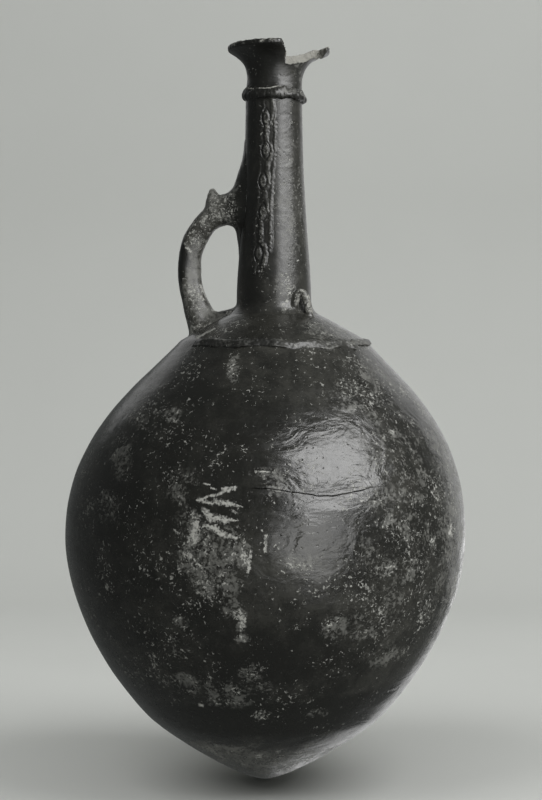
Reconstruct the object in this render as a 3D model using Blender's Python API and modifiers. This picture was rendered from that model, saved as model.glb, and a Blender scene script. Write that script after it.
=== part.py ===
"""A tall hand-built jug with a pointed base, a long neck, a cut-away spout and a loop handle.

Lengths are in metres and angles in degrees. Heights are measured up from the tip of the base, and
radii from the axis of each form. The front of the jug faces -Y, the spout +X and the handle -X.
An angle round the jug starts at the front and grows towards the spout.
"""

import math

import bmesh
import bpy
from mathutils import Matrix, Vector
from mathutils.geometry import interpolate_bezier

# Clearance between two pieces of clay that were luted together
SEAT_GAP = 0.0003

# Body, from its tip up to the neck hole
SEAT_HEIGHT = 0.0565  # where a ring stand holds the pointed base
SEAT_RADIUS = 0.0977
BELLY_HEIGHT = 0.2026
BELLY_RADIUS = 0.1634
DOME_RISE = 0.1560  # from the belly up to the shoulder band
BAND_SEAT_RADIUS = 0.0765
SHOULDER_RISE = 0.0250  # from the shoulder band up to the neck hole
BODY_WALL = 0.0065
HALVES_JOIN_RISE = 0.0325  # the join of the two halves, above the belly
SCARF_RISE = 0.0040  # how much higher the join lies on the inside of the wall
NECK_OFFSET = 0.0074  # the neck stands off the belly's axis, towards the spout

# How full the body's curves are: lengths and leans of its tangents
TIP_BLUNTNESS = 0.0180
BASE_TANGENT = 0.0280
BASE_LEAN = 46.0
FLANK_TANGENT = 0.0484
FLANK_LEAN = 42.0
BELLY_TANGENT_BELOW = 0.0578
BELLY_TANGENT_ABOVE = 0.0857
DOME_TANGENT = 0.0400
DOME_LEAN = 41.0
SHOULDER_TANGENT = 0.0150
SHOULDER_LEAN = 60.0
SHOULDER_TOP_LEAN = 68.0

# Neck
NECK_FOOT_RADIUS = 0.0308
NECK_TOP_RADIUS = 0.0234
NECK_LENGTH = 0.1675  # from the end of the foot's fillet to the join under the ring
NECK_WALL = 0.0058
NECK_TANGENT_TOP = 0.0900
NECK_TANGENT_FOOT = 0.0300
FOOT_FILLET_RISE = 0.0080
FOOT_FLARE = 0.0078  # how far the foot spreads over the shoulder
FOOT_EDGE = 0.0012
FOOT_NECK_FULLNESS = 0.7  # how closely the foot's fillet keeps to neck and shoulder
FOOT_EDGE_FULLNESS = 0.4
SPIGOT_SET_IN = 0.0022  # the spigot is this much slimmer than the foot
SPIGOT_LENGTH = 0.0130

# Mouth
WAIST_RISE = 0.0130
WAIST_DRAW_IN = 0.0008
LIP_RISE = 0.0364
LIP_RADIUS = 0.0388
LIP_LEAN = 62.0
LIP_TANGENT = 0.0120
WAIST_TANGENT = 0.0110
MOUTH_WALL = 0.0054
LIP_ROUNDING_POINTS = 3
SPOUT_STRETCH = 1.11  # the mouth is drawn out on the spout's side
COLLAR_STRETCH = 0.955
CUT_SET = 0.0070  # the collar ends this far on the spout's side of the axis
NOTCH_DEPTH = 0.0158
NOTCH_LENGTH = 0.0120
SPOUT_DROP = 0.0030  # the spout's tip, below the collar's rim

# Ring that covers the join of neck and mouth
RING_HEIGHT = 0.0088
RING_PROUD = 0.0026
RING_FULLNESS = 1.3  # how far the dome's tangents overshoot its height

# Shoulder band, pressed down with the thumb so that its lower edge hangs in lobes
BAND_RADIUS = 0.0034
BAND_PRESSES = 16
LOBE_DROP = 0.0022
LOBE_PROUD = 0.0009

# Handle
HANDLE_ANGLE = -102.0
HANDLE_RADIUS = 0.0091
HANDLE_REACH = 0.0711  # from the neck's axis to the handle's own centre line
HANDLE_ROOT_DROP = 0.0905  # below the top of the neck
HANDLE_FOOT_REACH = 0.0592
HANDLE_BOW = 0.49  # where it stands out furthest, as a share of its height
HANDLE_TOP_BEND = 0.70  # how far the rod runs level before it turns down
HANDLE_TOP_FULLNESS = 0.52
HANDLE_LOW_FULLNESS = 0.40
HANDLE_FOOT_SWEEP = 0.35
ROOT_FLARE = 0.75
FOOT_SPREAD = 0.30
FLARE_LENGTH = 0.20
WEB_RISE = 0.0490  # the root's web creeps this far up the neck, above the rod's centre line
WEB_FALL = 0.0335
WEB_POINTS = 9
FOOT_WEB_DEPTH = 0.0095  # clay smoothed over the shoulder, at the handle's foot
NECK_WEB_DEPTH = 0.0020  # and where it reaches the neck
TENON_RADIUS = 0.0070
TENON_LENGTH = 0.0170

# Spur on the bend of the handle
SPUR_REACH = 0.0500
SPUR_LENGTH = 0.0245
SPUR_RADIUS = 0.0084
SPUR_TIP_RADIUS = 0.0017
SPUR_HOLLOW = 0.0018  # how far its sides curve in
SPUR_TILT = 6.0

# Lug in the corner of neck and shoulder
LUG_ROOT_ANGLE = 33.0
LUG_FOOT_ANGLE = 47.0
LUG_ROD_RADIUS = 0.0030
LUG_REACH = 0.0080  # out from the neck's surface
LUG_TOP_RISE = 0.0060  # above the neck's foot
LUG_ROOT_DROP = 0.0085
LUG_ROOT_FULLNESS = 1.6
LUG_FOOT_FULLNESS = 1.5
LUG_POINTS = 14

# Relief strip down the front of the neck
RELIEF_TOP_ANGLE = -15.5
RELIEF_END_ANGLE = -26.0
RELIEF_FOOT_GAP = 0.0225
RELIEF_GAP = 0.0004  # least gap between the strip's own pieces
PELLET_DROPS = (0.0153, 0.0419, 0.0671, 0.0921, 0.1256)  # their middles, below the ring
PELLET_WIDTH = 0.0050
PELLET_HEIGHT = 0.0100
PELLET_PROUD = 0.0022
SNAKE_RADIUS = 0.0015
SNAKE_SWING = 0.0037  # from side to side
SIDE_RIB_RADIUS = 0.0011
RIGHT_RIB_SHORTER = 0.0180
RIB_END_TAPER = 0.7

# Facets
BODY_STEPS = 48
NECK_STEPS = 36
BAND_STEPS = 80
BAND_SIDES = 8
CURVE_POINTS = 7
HANDLE_POINTS = 24
SMALL_STEPS = 16
SNAKE_POINTS_PER_WAVE = 8
SIDE_RIB_POINTS = 10
PELLET_RINGS = 7
SPUR_NOSE_POINTS = 3
HANDLE_BEVEL_STEPS = 6  # bevel resolutions of the rods
WEB_BEVEL_STEPS = 4
LUG_BEVEL_STEPS = 2
RIB_BEVEL_STEPS = 1
WELD_DISTANCE = 0.000001

# Heights that follow from the sizes above
BAND_HEIGHT = BELLY_HEIGHT + DOME_RISE
SHOULDER_TOP = BAND_HEIGHT + SHOULDER_RISE
NECK_FOOT = SHOULDER_TOP + FOOT_FILLET_RISE
NECK_TOP = NECK_FOOT + NECK_LENGTH
HALVES_JOIN = BELLY_HEIGHT + HALVES_JOIN_RISE
SPIGOT_RADIUS = NECK_FOOT_RADIUS - SPIGOT_SET_IN
NECK_HOLE_RADIUS = SPIGOT_RADIUS + SEAT_GAP

# The dark burnished slip, and the same slip rubbed thin where it stands proud
SLIP = (0.030, 0.028, 0.025, 1.0)
SLIP_ROUGHNESS = 0.32
RUBBED_SLIP = (0.052, 0.049, 0.044, 1.0)
RUBBED_ROUGHNESS = 0.42
RUBBED_PIECES = ("neck_ring", "shoulder_band", "left_rib", "right_rib", "winding_rib", "pellet")
EDGE_ANGLE = 40.0


def clear_scene():
    for obj in list(bpy.data.objects):
        bpy.data.objects.remove(obj, do_unlink=True)


def new_collection(name):
    collection = bpy.data.collections.new(name)
    bpy.context.scene.collection.children.link(collection)
    return collection


def leaning(degrees):
    """A unit vector that leans out from the upright, as (radius, height)."""
    angle = math.radians(degrees)
    return Vector((math.sin(angle), math.cos(angle)))


def bezier(start, start_handle, end_handle, end, count=CURVE_POINTS):
    return [Vector(p[:2]) for p in interpolate_bezier(start, start_handle, end_handle, end, count)]


def smooth(share):
    """An S-curve from 0 to 1."""
    share = max(0.0, min(1.0, share))
    return share * share * (3 - 2 * share)


def lean(height):
    """How far the hand-built pot's axis has drifted towards the spout at this height."""
    return NECK_OFFSET * smooth((height - BELLY_HEIGHT) / (NECK_FOOT - BELLY_HEIGHT))


def offset(outline, distance):
    """The outline moved out by a distance, or in by a negative one. It runs from the bottom up."""
    moved = []
    for i, point in enumerate(outline):
        before = outline[max(i - 1, 0)]
        after = outline[min(i + 1, len(outline) - 1)]
        along = (after - before).normalized()
        moved.append(point + distance * Vector((along.y, -along.x)))
    return moved


def crossing(a, b, axis, value):
    share = (value - a[axis]) / (b[axis] - a[axis])
    return a.lerp(b, share)


def between(outline, low, high):
    """The stretch of a rising outline between two heights, with points at both ends."""
    kept = [p for p in outline if low <= p.y <= high]
    for a, b in zip(outline, outline[1:]):
        kept += [crossing(a, b, 1, height) for height in (low, high) if a.y < height < b.y]
    return sorted(kept, key=lambda p: p.y)


def outside_radius(outline, radius):
    """The outline up to where it last narrows to a radius."""
    kept = list(outline)
    while len(kept) > 1 and kept[-2].x < radius:
        kept.pop()
    kept[-1] = crossing(kept[-2], kept[-1], 0, radius)
    return kept


def radius_at(outline, height):
    """The outline's radius at a height. The outline rises."""
    for a, b in zip(outline, outline[1:]):
        if a.y <= height <= b.y:
            return crossing(a, b, 1, height).x
    return outline[0].x if height < outline[0].y else outline[-1].x


def height_at(outline, radius):
    """The height at which the outline narrows to a radius."""
    for a, b in zip(outline, outline[1:]):
        if b.x <= radius <= a.x:
            return crossing(a, b, 0, radius).y
    return outline[-1].y


def body_outline():
    """The outside of the body, from its tip to the neck hole."""
    tip = Vector((0.0, 0.0))
    seat = Vector((SEAT_RADIUS, SEAT_HEIGHT))
    belly = Vector((BELLY_RADIUS, BELLY_HEIGHT))
    band = Vector((BAND_SEAT_RADIUS, BAND_HEIGHT))
    base = bezier(
        tip,
        Vector((TIP_BLUNTNESS, 0.0)),
        seat - BASE_TANGENT * leaning(BASE_LEAN),
        seat,
    )
    flank = bezier(
        seat,
        seat + FLANK_TANGENT * leaning(FLANK_LEAN),
        belly - Vector((0.0, BELLY_TANGENT_BELOW)),
        belly,
    )
    dome = bezier(
        belly,
        belly + Vector((0.0, BELLY_TANGENT_ABOVE)),
        band - DOME_TANGENT * leaning(-DOME_LEAN),
        band,
        CURVE_POINTS + 2,
    )
    return base + flank[1:] + dome[1:] + shoulder_outline()[1:]


def shoulder_outline():
    """The low shoulder above the band, up to the neck hole."""
    band = Vector((BAND_SEAT_RADIUS, BAND_HEIGHT))
    hole = Vector((NECK_HOLE_RADIUS, SHOULDER_TOP))
    return bezier(
        band,
        band + SHOULDER_TANGENT * leaning(-SHOULDER_LEAN),
        hole - SHOULDER_TANGENT * leaning(-SHOULDER_TOP_LEAN),
        hole,
        CURVE_POINTS - 2,
    )


def neck_outline():
    """The outside of the neck, from its join under the ring down to the end of its foot's fillet."""
    top = Vector((NECK_TOP_RADIUS, NECK_TOP))
    foot = Vector((NECK_FOOT_RADIUS, NECK_FOOT))
    return bezier(
        top,
        top - Vector((0.0, NECK_TANGENT_TOP)),
        foot + Vector((0.0, NECK_TANGENT_FOOT)),
        foot,
        CURVE_POINTS + 2,
    )


def foot_fillet():
    """The neck's foot, from its fillet out to the thin edge that lies on the shoulder."""
    reach = NECK_FOOT_RADIUS + FOOT_FLARE
    start = Vector((NECK_FOOT_RADIUS, NECK_FOOT))
    edge = Vector((reach, height_at(shoulder_outline(), reach) + FOOT_EDGE))
    corner = Vector((NECK_FOOT_RADIUS, height_at(shoulder_outline(), NECK_FOOT_RADIUS)))
    return bezier(
        start,
        start.lerp(corner, FOOT_NECK_FULLNESS),
        corner.lerp(edge, FOOT_EDGE_FULLNESS),
        edge,
        CURVE_POINTS - 1,
    )


def neck_radius(height):
    return radius_at(list(reversed(neck_outline())), height)


def into_scene(obj, collection, jug):
    collection.objects.link(obj)
    obj.parent = jug
    return obj


def baked(obj, name, collection, jug, moved=None):
    """Replaces an object by a mesh of what its curve or modifiers make, with each vertex moved."""
    bpy.context.view_layer.update()
    evaluated = obj.evaluated_get(bpy.context.evaluated_depsgraph_get())
    mesh = bpy.data.meshes.new_from_object(evaluated)
    matrix = obj.matrix_local.copy()
    bpy.data.objects.remove(obj, do_unlink=True)
    weld(mesh)
    for vertex in mesh.vertices if moved else ():
        vertex.co = moved(vertex.co)
    mesh.name = name
    made = into_scene(bpy.data.objects.new(name, mesh), collection, jug)
    made.matrix_local = matrix
    return made


def weld(mesh):
    """Closes the seams that a curve's caps and a turned profile leave."""
    welded = bmesh.new()
    welded.from_mesh(mesh)
    bmesh.ops.remove_doubles(welded, verts=welded.verts, dist=WELD_DISTANCE)
    welded.to_mesh(mesh)
    welded.free()


def turned(name, profile, steps, group, jug, closed=True, moved=None):
    """A profile of (radius, height) turned about the upright axis. It runs down its outer side."""
    count = len(profile)
    edges = [(i, (i + 1) % count) for i in range(count if closed else count - 1)]
    edges = [(i, j) for i, j in edges if profile[i].x + profile[j].x > 0]
    mesh = bpy.data.meshes.new(name + "_profile")
    mesh.from_pydata([(p.x, 0.0, p.y) for p in profile], edges, [])
    obj = into_scene(bpy.data.objects.new(name + "_profile", mesh), group, jug)
    screw = obj.modifiers.new("Turn", "SCREW")
    screw.axis = "Z"
    screw.angle = math.tau
    screw.steps = steps
    screw.render_steps = steps
    screw.use_merge_vertices = True
    screw.merge_threshold = WELD_DISTANCE
    return baked(obj, name, group, jug, moved)


def leant(point):
    return point + Vector((lean(point.z), 0.0, 0.0))


def tube(name, points, radii, group, jug, bevel_steps):
    """A rod along points, with a radius at each."""
    data = bpy.data.curves.new(name + "_route", "CURVE")
    data.dimensions = "3D"
    data.bevel_depth = 1.0
    data.bevel_resolution = bevel_steps
    data.use_fill_caps = True
    spline = data.splines.new("POLY")
    spline.points.add(len(points) - 1)
    for knot, place, radius in zip(spline.points, points, radii):
        knot.co = (*place, 1.0)
        knot.radius = radius
    obj = into_scene(bpy.data.objects.new(name + "_route", data), group, jug)
    return baked(obj, name, group, jug)


def cut(obj, cutter, operation="DIFFERENCE"):
    boolean = obj.modifiers.new(cutter.name, "BOOLEAN")
    boolean.operation = operation
    boolean.solver = "EXACT"
    boolean.object = cutter


def hide_cutters(group):
    for obj in group.objects:
        obj.hide_render = True
        obj.display_type = "WIRE"


def finish(obj, colour, roughness):
    """A material of its own for a piece, with smooth shading that keeps its edges."""
    material = bpy.data.materials.new(obj.name + "_clay")
    material.use_nodes = True
    shader = material.node_tree.nodes["Principled BSDF"]
    shader.inputs["Base Color"].default_value = colour
    shader.inputs["Roughness"].default_value = roughness
    shader.inputs["Metallic"].default_value = 0.0
    material.diffuse_color = colour
    obj.data.materials.clear()
    obj.data.materials.append(material)
    obj.data.shade_smooth()
    obj.data.set_sharp_from_angle(angle=math.radians(EDGE_ANGLE))


def around(angle):
    """The level unit vector that points out from the neck's axis at an angle round the jug."""
    turn = math.radians(angle)
    return Vector((math.sin(turn), -math.cos(turn), 0.0))


def from_neck(angle, reach, height):
    """A point at a distance from the neck's axis."""
    return Vector((NECK_OFFSET, 0.0, height)) + reach * around(angle)


def body_halves(parts, cutters, jug):
    """Two shells whose walls meet in a scarf joint. The upper one has holes for neck and tenon."""
    outside = body_outline()
    inside = offset(outside, -BODY_WALL)
    inside[0].x = 0.0
    top = outside[-1].y
    lower_outside = between(outside, 0.0, HALVES_JOIN)
    lower_inside = between(inside, 0.0, HALVES_JOIN + SCARF_RISE)
    turned("lower_body", lower_outside[::-1] + lower_inside, BODY_STEPS, parts, jug, moved=leant)
    upper_outside = between(outside, HALVES_JOIN + SEAT_GAP, top)
    upper_inside = between(inside, HALVES_JOIN + SCARF_RISE + SEAT_GAP, top)
    upper_inside = outside_radius(upper_inside, NECK_HOLE_RADIUS)
    upper = turned(
        "upper_body", upper_outside[::-1] + upper_inside, BODY_STEPS, parts, jug, moved=leant
    )
    cut(upper, tenon("tenon_hole", TENON_RADIUS + SEAT_GAP, cutters, jug))


def envelopes(cutters, jug):
    """Solids a seat gap larger than body and neck, which shape the backs of what is luted on."""
    body = offset(body_outline(), SEAT_GAP)
    body[0].x = 0.0
    body.append(Vector((0.0, body[-1].y)))
    body_space = turned("body_space", body[::-1], BODY_STEPS, cutters, jug, False, leant)
    neck = offset((neck_outline() + foot_fillet()[1:])[::-1], SEAT_GAP)
    crown = Vector((0.0, neck[-1].y))
    root = Vector((neck[0].x, BELLY_HEIGHT))
    floor = Vector((0.0, BELLY_HEIGHT))
    profile = [crown] + neck[::-1] + [root, floor]
    neck_space = turned("neck_space", profile, NECK_STEPS, cutters, jug, False, leant)
    return body_space, neck_space


def neck(parts, jug):
    """A tapering tube with a spreading foot, and a spigot that goes down through the body's hole."""
    shoulder = shoulder_outline()
    reach = NECK_FOOT_RADIUS + FOOT_FLARE
    under = [p + Vector((0.0, SEAT_GAP)) for p in shoulder if SPIGOT_RADIUS < p.x < reach]
    under.insert(0, Vector((reach, height_at(shoulder, reach) + SEAT_GAP)))
    corner = Vector((SPIGOT_RADIUS, SHOULDER_TOP + SEAT_GAP))
    spigot_end = SHOULDER_TOP - SPIGOT_LENGTH
    spigot = [corner, Vector((SPIGOT_RADIUS, spigot_end))]
    bore = [
        Vector((SPIGOT_RADIUS - NECK_WALL + SEAT_GAP, spigot_end)),
        Vector((NECK_TOP_RADIUS - NECK_WALL, NECK_TOP)),
    ]
    profile = neck_outline() + foot_fillet()[1:] + under + spigot + bore
    turned("neck", profile, NECK_STEPS, parts, jug, moved=leant)


def mouth_profile():
    """Outside, rounded lip and inside of the flaring mouth, from its join with the neck."""
    join = NECK_TOP + SEAT_GAP
    base = Vector((NECK_TOP_RADIUS, join))
    waist = Vector((NECK_TOP_RADIUS - WAIST_DRAW_IN, join + WAIST_RISE))
    lip = Vector((LIP_RADIUS, join + LIP_RISE))
    flare = bezier(
        waist,
        waist + Vector((0.0, WAIST_TANGENT)),
        lip - LIP_TANGENT * leaning(LIP_LEAN),
        lip,
        CURVE_POINTS + 1,
    )
    outside = [base] + flare
    inside = offset(outside, -MOUTH_WALL)
    inside[0] = Vector((NECK_TOP_RADIUS - NECK_WALL, join))
    middle = (outside[-1] + inside[-1]) / 2
    half = (outside[-1] - inside[-1]) / 2
    forward = Vector((-half.y, half.x))
    turns = spread(0.0, math.pi, LIP_ROUNDING_POINTS + 2)[1:-1]
    rounding = [middle + math.cos(t) * half + math.sin(t) * forward for t in turns]
    return outside, rounding, inside


def drawn_out(point):
    """The mouth's roundness drawn out to the spout, more so towards the lip."""
    share = smooth((point.z - NECK_TOP) / LIP_RISE)
    stretch = SPOUT_STRETCH if point.x > 0 else COLLAR_STRETCH
    return Vector((point.x * (1 + share * (stretch - 1)) + NECK_OFFSET, point.y, point.z))


def mouth(parts, cutters, jug):
    """A flaring mouth: the half on the handle's side stays a collar, the other is cut to a spout."""
    outside, rounding, inside = mouth_profile()
    profile = rounding[::-1] + outside[::-1] + inside
    made = turned("mouth", profile, NECK_STEPS, parts, jug, moved=drawn_out)
    rim = max(p.y for p in rounding)
    tip = LIP_RADIUS * SPOUT_STRETCH
    notch = rim - NOTCH_DEPTH
    flat_end = CUT_SET + NOTCH_LENGTH
    slope = (rim - SPOUT_DROP - notch) / (tip - flat_end)
    over = rim + MOUTH_WALL
    beyond = flat_end + (over - notch) / slope
    outline = [(CUT_SET, over), (CUT_SET, notch)]
    rise = bezier(
        Vector((flat_end - NOTCH_LENGTH / 2, notch)),
        Vector((flat_end, notch)),
        Vector((flat_end, notch)),
        Vector((flat_end + NOTCH_LENGTH / 2, notch + slope * NOTCH_LENGTH / 2)),
        CURVE_POINTS - 2,
    )
    outline += [tuple(p) for p in rise] + [(beyond, over)]
    cut(made, cut_away(outline, cutters, jug))


def cut_away(outline, cutters, jug):
    """What the potter cut off the mouth: an upright outline pushed through from front to back."""
    data = bpy.data.curves.new("cut_away_outline", "CURVE")
    data.dimensions = "2D"
    data.fill_mode = "BOTH"
    data.extrude = 2 * LIP_RADIUS
    spline = data.splines.new("POLY")
    spline.points.add(len(outline) - 1)
    spline.use_cyclic_u = True
    for knot, (across, up) in zip(spline.points, outline):
        knot.co = (across, up, 0.0, 1.0)
    obj = into_scene(bpy.data.objects.new("cut_away_outline", data), cutters, jug)
    obj.matrix_local = Matrix.Translation((NECK_OFFSET, 0, 0)) @ Matrix.Rotation(math.pi / 2, 4, "X")
    return baked(obj, "cut_away", cutters, jug)


def neck_ring(parts, jug):
    """A clay ring over the join of neck and mouth, domed on its outer side."""
    back = NECK_TOP_RADIUS + SEAT_GAP
    half = RING_HEIGHT / 2
    lower_back = neck_radius(NECK_TOP - half) + SEAT_GAP
    crest = back + RING_PROUD * RING_FULLNESS
    dome = bezier(
        Vector((back, NECK_TOP + half)),
        Vector((crest, NECK_TOP + half)),
        Vector((crest, NECK_TOP - half)),
        Vector((lower_back, NECK_TOP - half)),
    )
    turned("neck_ring", dome, NECK_STEPS, parts, jug, moved=leant)


def shoulder_band(parts, body_space, jug):
    """A clay coil laid round the corner of the shoulder and thumbed down at even steps."""
    centre = Vector((BAND_SEAT_RADIUS, BAND_HEIGHT + SEAT_GAP))
    turns = spread(0.0, -math.tau, BAND_SIDES + 1)[:-1]
    profile = [centre + BAND_RADIUS * Vector((math.cos(t), math.sin(t))) for t in turns]
    made = turned("shoulder_band", profile, BAND_STEPS, parts, jug, moved=thumbed)
    cut(made, body_space)


def thumbed(point):
    """The band's lower half hangs and bulges in a lobe below each press."""
    lobe = (1 + math.cos(BAND_PRESSES * math.atan2(point.x, -point.y))) / 2
    depth = max(0.0, (BAND_HEIGHT - point.z) / BAND_RADIUS)
    out = Vector((point.x, point.y, 0.0)).normalized()
    return leant(point) + lobe * depth * (LOBE_PROUD * out - Vector((0, 0, LOBE_DROP)))


def handle_route():
    """Points of the handle's centre line as (reach from the neck's axis, height), root to foot."""
    root_height = NECK_TOP - HANDLE_ROOT_DROP
    foot_height = height_at(shoulder_outline(), HANDLE_FOOT_REACH)
    bow_height = foot_height + HANDLE_BOW * (root_height - foot_height)
    root = Vector((neck_radius(root_height) - HANDLE_RADIUS / 2, root_height))
    bow = Vector((HANDLE_REACH, bow_height))
    foot = Vector((HANDLE_FOOT_REACH, foot_height))
    upper = bezier(
        root,
        Vector((root.x + HANDLE_TOP_BEND * (bow.x - root.x), root.y)),
        Vector((bow.x, bow.y + HANDLE_TOP_FULLNESS * (root.y - bow.y))),
        bow,
        HANDLE_POINTS // 2 + 1,
    )
    lower = bezier(
        bow,
        Vector((bow.x, bow.y - HANDLE_LOW_FULLNESS * (bow.y - foot.y))),
        foot.lerp(bow, HANDLE_FOOT_SWEEP),
        foot,
        HANDLE_POINTS // 2 + 1,
    )
    return upper + lower[1:]


def handle_radii(extra=0.0):
    """The rod's radius at each point of its route: it spreads where it meets neck and shoulder."""
    radii = []
    for i in range(HANDLE_POINTS + 1):
        share = i / HANDLE_POINTS
        root = smooth(1 - share / FLARE_LENGTH)
        foot = smooth(1 - (1 - share) / FLARE_LENGTH)
        radii.append(HANDLE_RADIUS * (1 + ROOT_FLARE * root + FOOT_SPREAD * foot) + extra)
    return radii


def foot_direction():
    route = handle_route()
    return (route[-1] - route[-2]).normalized()


def handle_rod(name, extra, beyond, group, jug):
    """The handle's rod, run on at its foot so that the shoulder's shape can be cut from it."""
    route = handle_route()
    radii = handle_radii(extra)
    if beyond:
        route.append(route[-1] + beyond * foot_direction())
        radii.append(radii[-1])
    points = [from_neck(HANDLE_ANGLE, p.x, p.y) for p in route]
    return tube(name, points, radii, group, jug, HANDLE_BEVEL_STEPS)


def tenon(name, radius, group, jug):
    """The slimmer end of the handle that goes through the body's wall."""
    foot = handle_route()[-1]
    start = foot - HANDLE_RADIUS * foot_direction()
    end = foot + TENON_LENGTH * foot_direction()
    points = [from_neck(HANDLE_ANGLE, p.x, p.y) for p in (start, end)]
    return tube(name, points, [radius, radius], group, jug, WEB_BEVEL_STEPS)


def root_web(cutters, jug):
    """Clay smoothed up and down the neck from the handle's root, thickest beside the rod."""
    middle = NECK_TOP - HANDLE_ROOT_DROP
    points = []
    radii = []
    for height in spread(middle + WEB_RISE, middle - WEB_FALL, WEB_POINTS):
        away = (height - middle) / (WEB_RISE if height > middle else WEB_FALL)
        radius = HANDLE_RADIUS * (1 + ROOT_FLARE * (1 - abs(away)) ** 2)
        sunk = radius * (1 - (1 - abs(away)) ** 2)
        points.append(from_neck(HANDLE_ANGLE, neck_radius(height) - sunk, height))
        radii.append(radius)
    return tube("root_web", points, radii, cutters, jug, WEB_BEVEL_STEPS)


def foot_web(cutters, jug):
    """Clay smoothed over the shoulder from the handle's foot in to the neck's."""
    shoulder = shoulder_outline()
    depths = spread(FOOT_WEB_DEPTH, NECK_WEB_DEPTH, WEB_POINTS)
    points = []
    for reach, depth in zip(spread(HANDLE_FOOT_REACH, NECK_FOOT_RADIUS, WEB_POINTS), depths):
        height = height_at(shoulder, reach) + depth - HANDLE_RADIUS
        points.append(from_neck(HANDLE_ANGLE, reach, height))
    return tube("foot_web", points, [HANDLE_RADIUS] * WEB_POINTS, cutters, jug, WEB_BEVEL_STEPS)


def handle(parts, cutters, spaces, jug):
    """A rod that springs from the neck, stands down on the shoulder and is tenoned through it."""
    body_space, neck_space = spaces
    made = handle_rod("handle", 0.0, HANDLE_RADIUS, parts, jug)
    cut(made, root_web(cutters, jug), "UNION")
    cut(made, foot_web(cutters, jug), "UNION")
    cut(made, neck_space)
    cut(made, body_space)
    cut(made, tenon("tenon", TENON_RADIUS, cutters, jug), "UNION")


def handle_spur(parts, cutters, jug):
    """A pointed thumb spur that stands on the bend of the handle."""
    route = handle_route()
    foot = min(route[: HANDLE_POINTS // 2], key=lambda p: abs(p.x - SPUR_REACH))
    base = Vector((SPUR_RADIUS, 0.0))
    tip = Vector((SPUR_TIP_RADIUS, SPUR_LENGTH - SPUR_TIP_RADIUS))
    hollow = Vector((SPUR_HOLLOW, 0.0))
    side = bezier(
        tip,
        tip.lerp(base, 1 / 3) - hollow,
        tip.lerp(base, 2 / 3) - hollow,
        base,
        CURVE_POINTS - 1,
    )
    turns = spread(math.pi / 2, 0.0, SPUR_NOSE_POINTS + 1)[:-1]
    middle = Vector((0.0, tip.y))
    nose = [middle + SPUR_TIP_RADIUS * Vector((math.cos(t), math.sin(t))) for t in turns]
    nose[0].x = 0.0
    profile = nose + side + [Vector((0.0, 0.0))]
    made = turned("handle_spur", profile, SMALL_STEPS, parts, jug, False)
    place = from_neck(HANDLE_ANGLE, SPUR_REACH, foot.y)
    outwards = around(HANDLE_ANGLE)
    tilt = Matrix.Rotation(math.radians(SPUR_TILT), 4, Vector((0, 0, 1)).cross(outwards))
    made.matrix_local = Matrix.Translation(place) @ tilt
    cut(made, handle_rod("handle_space", SEAT_GAP, 0.0, cutters, jug))


def neck_foot_lug(parts, spaces, jug):
    """A little loop of clay that springs from the neck's foot and comes down on the shoulder."""
    body_space, neck_space = spaces
    top = NECK_FOOT + LUG_TOP_RISE
    neck_side = neck_radius(top)
    reach = neck_side + LUG_REACH
    root = Vector((neck_side, top - LUG_ROOT_DROP))
    landing = Vector((reach, height_at(shoulder_outline(), reach) - LUG_ROD_RADIUS))
    root_lift = Vector((0.0, LUG_ROOT_FULLNESS * LUG_ROOT_DROP))
    foot_lift = Vector((reach - root.x, LUG_FOOT_FULLNESS * LUG_ROOT_DROP))
    route = bezier(root, root + root_lift, root + foot_lift, landing, LUG_POINTS)
    angles = spread(LUG_ROOT_ANGLE, LUG_FOOT_ANGLE, LUG_POINTS)
    points = [from_neck(angle, p.x, p.y) for angle, p in zip(angles, route)]
    radii = [LUG_ROD_RADIUS] * LUG_POINTS
    made = tube("neck_foot_lug", points, radii, parts, jug, LUG_BEVEL_STEPS)
    cut(made, neck_space)
    cut(made, body_space)


def relief_top():
    return NECK_TOP - RING_HEIGHT / 2 - SEAT_GAP


def relief_end():
    return NECK_FOOT + RELIEF_FOOT_GAP


def relief_angle(height):
    """The strip drifts round towards the handle as it comes down the neck."""
    share = (relief_top() - height) / (relief_top() - relief_end())
    return RELIEF_TOP_ANGLE + share * (RELIEF_END_ANGLE - RELIEF_TOP_ANGLE)


def pellet_height(number):
    """The height of a pellet's middle, counted from the top."""
    return relief_top() - PELLET_DROPS[number]


def pellet_count_above(height):
    """How many pellets stand above a height, with the share of the way on to the next."""
    drop = relief_top() - height
    drops = PELLET_DROPS
    for number, (a, b) in enumerate(zip(drops, drops[1:])):
        if drop <= b or number == len(drops) - 2:
            return number + (drop - a) / (b - a)


def on_neck(height, shift=0.0):
    """A point of the neck's surface on the strip's middle line, or a distance to its right."""
    radius = neck_radius(height)
    return from_neck(relief_angle(height) + math.degrees(shift / radius), radius, height)


def rib(name, radius, heights, shifts, neck_space, parts, jug):
    points = [on_neck(height, shift) for height, shift in zip(heights, shifts)]
    radii = [radius] * len(points)
    radii[0] = radii[-1] = radius * RIB_END_TAPER
    made = tube(name, points, radii, parts, jug, RIB_BEVEL_STEPS)
    cut(made, neck_space)


def spread(first, last, count):
    return [first + (last - first) * i / (count - 1) for i in range(count)]


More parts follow.
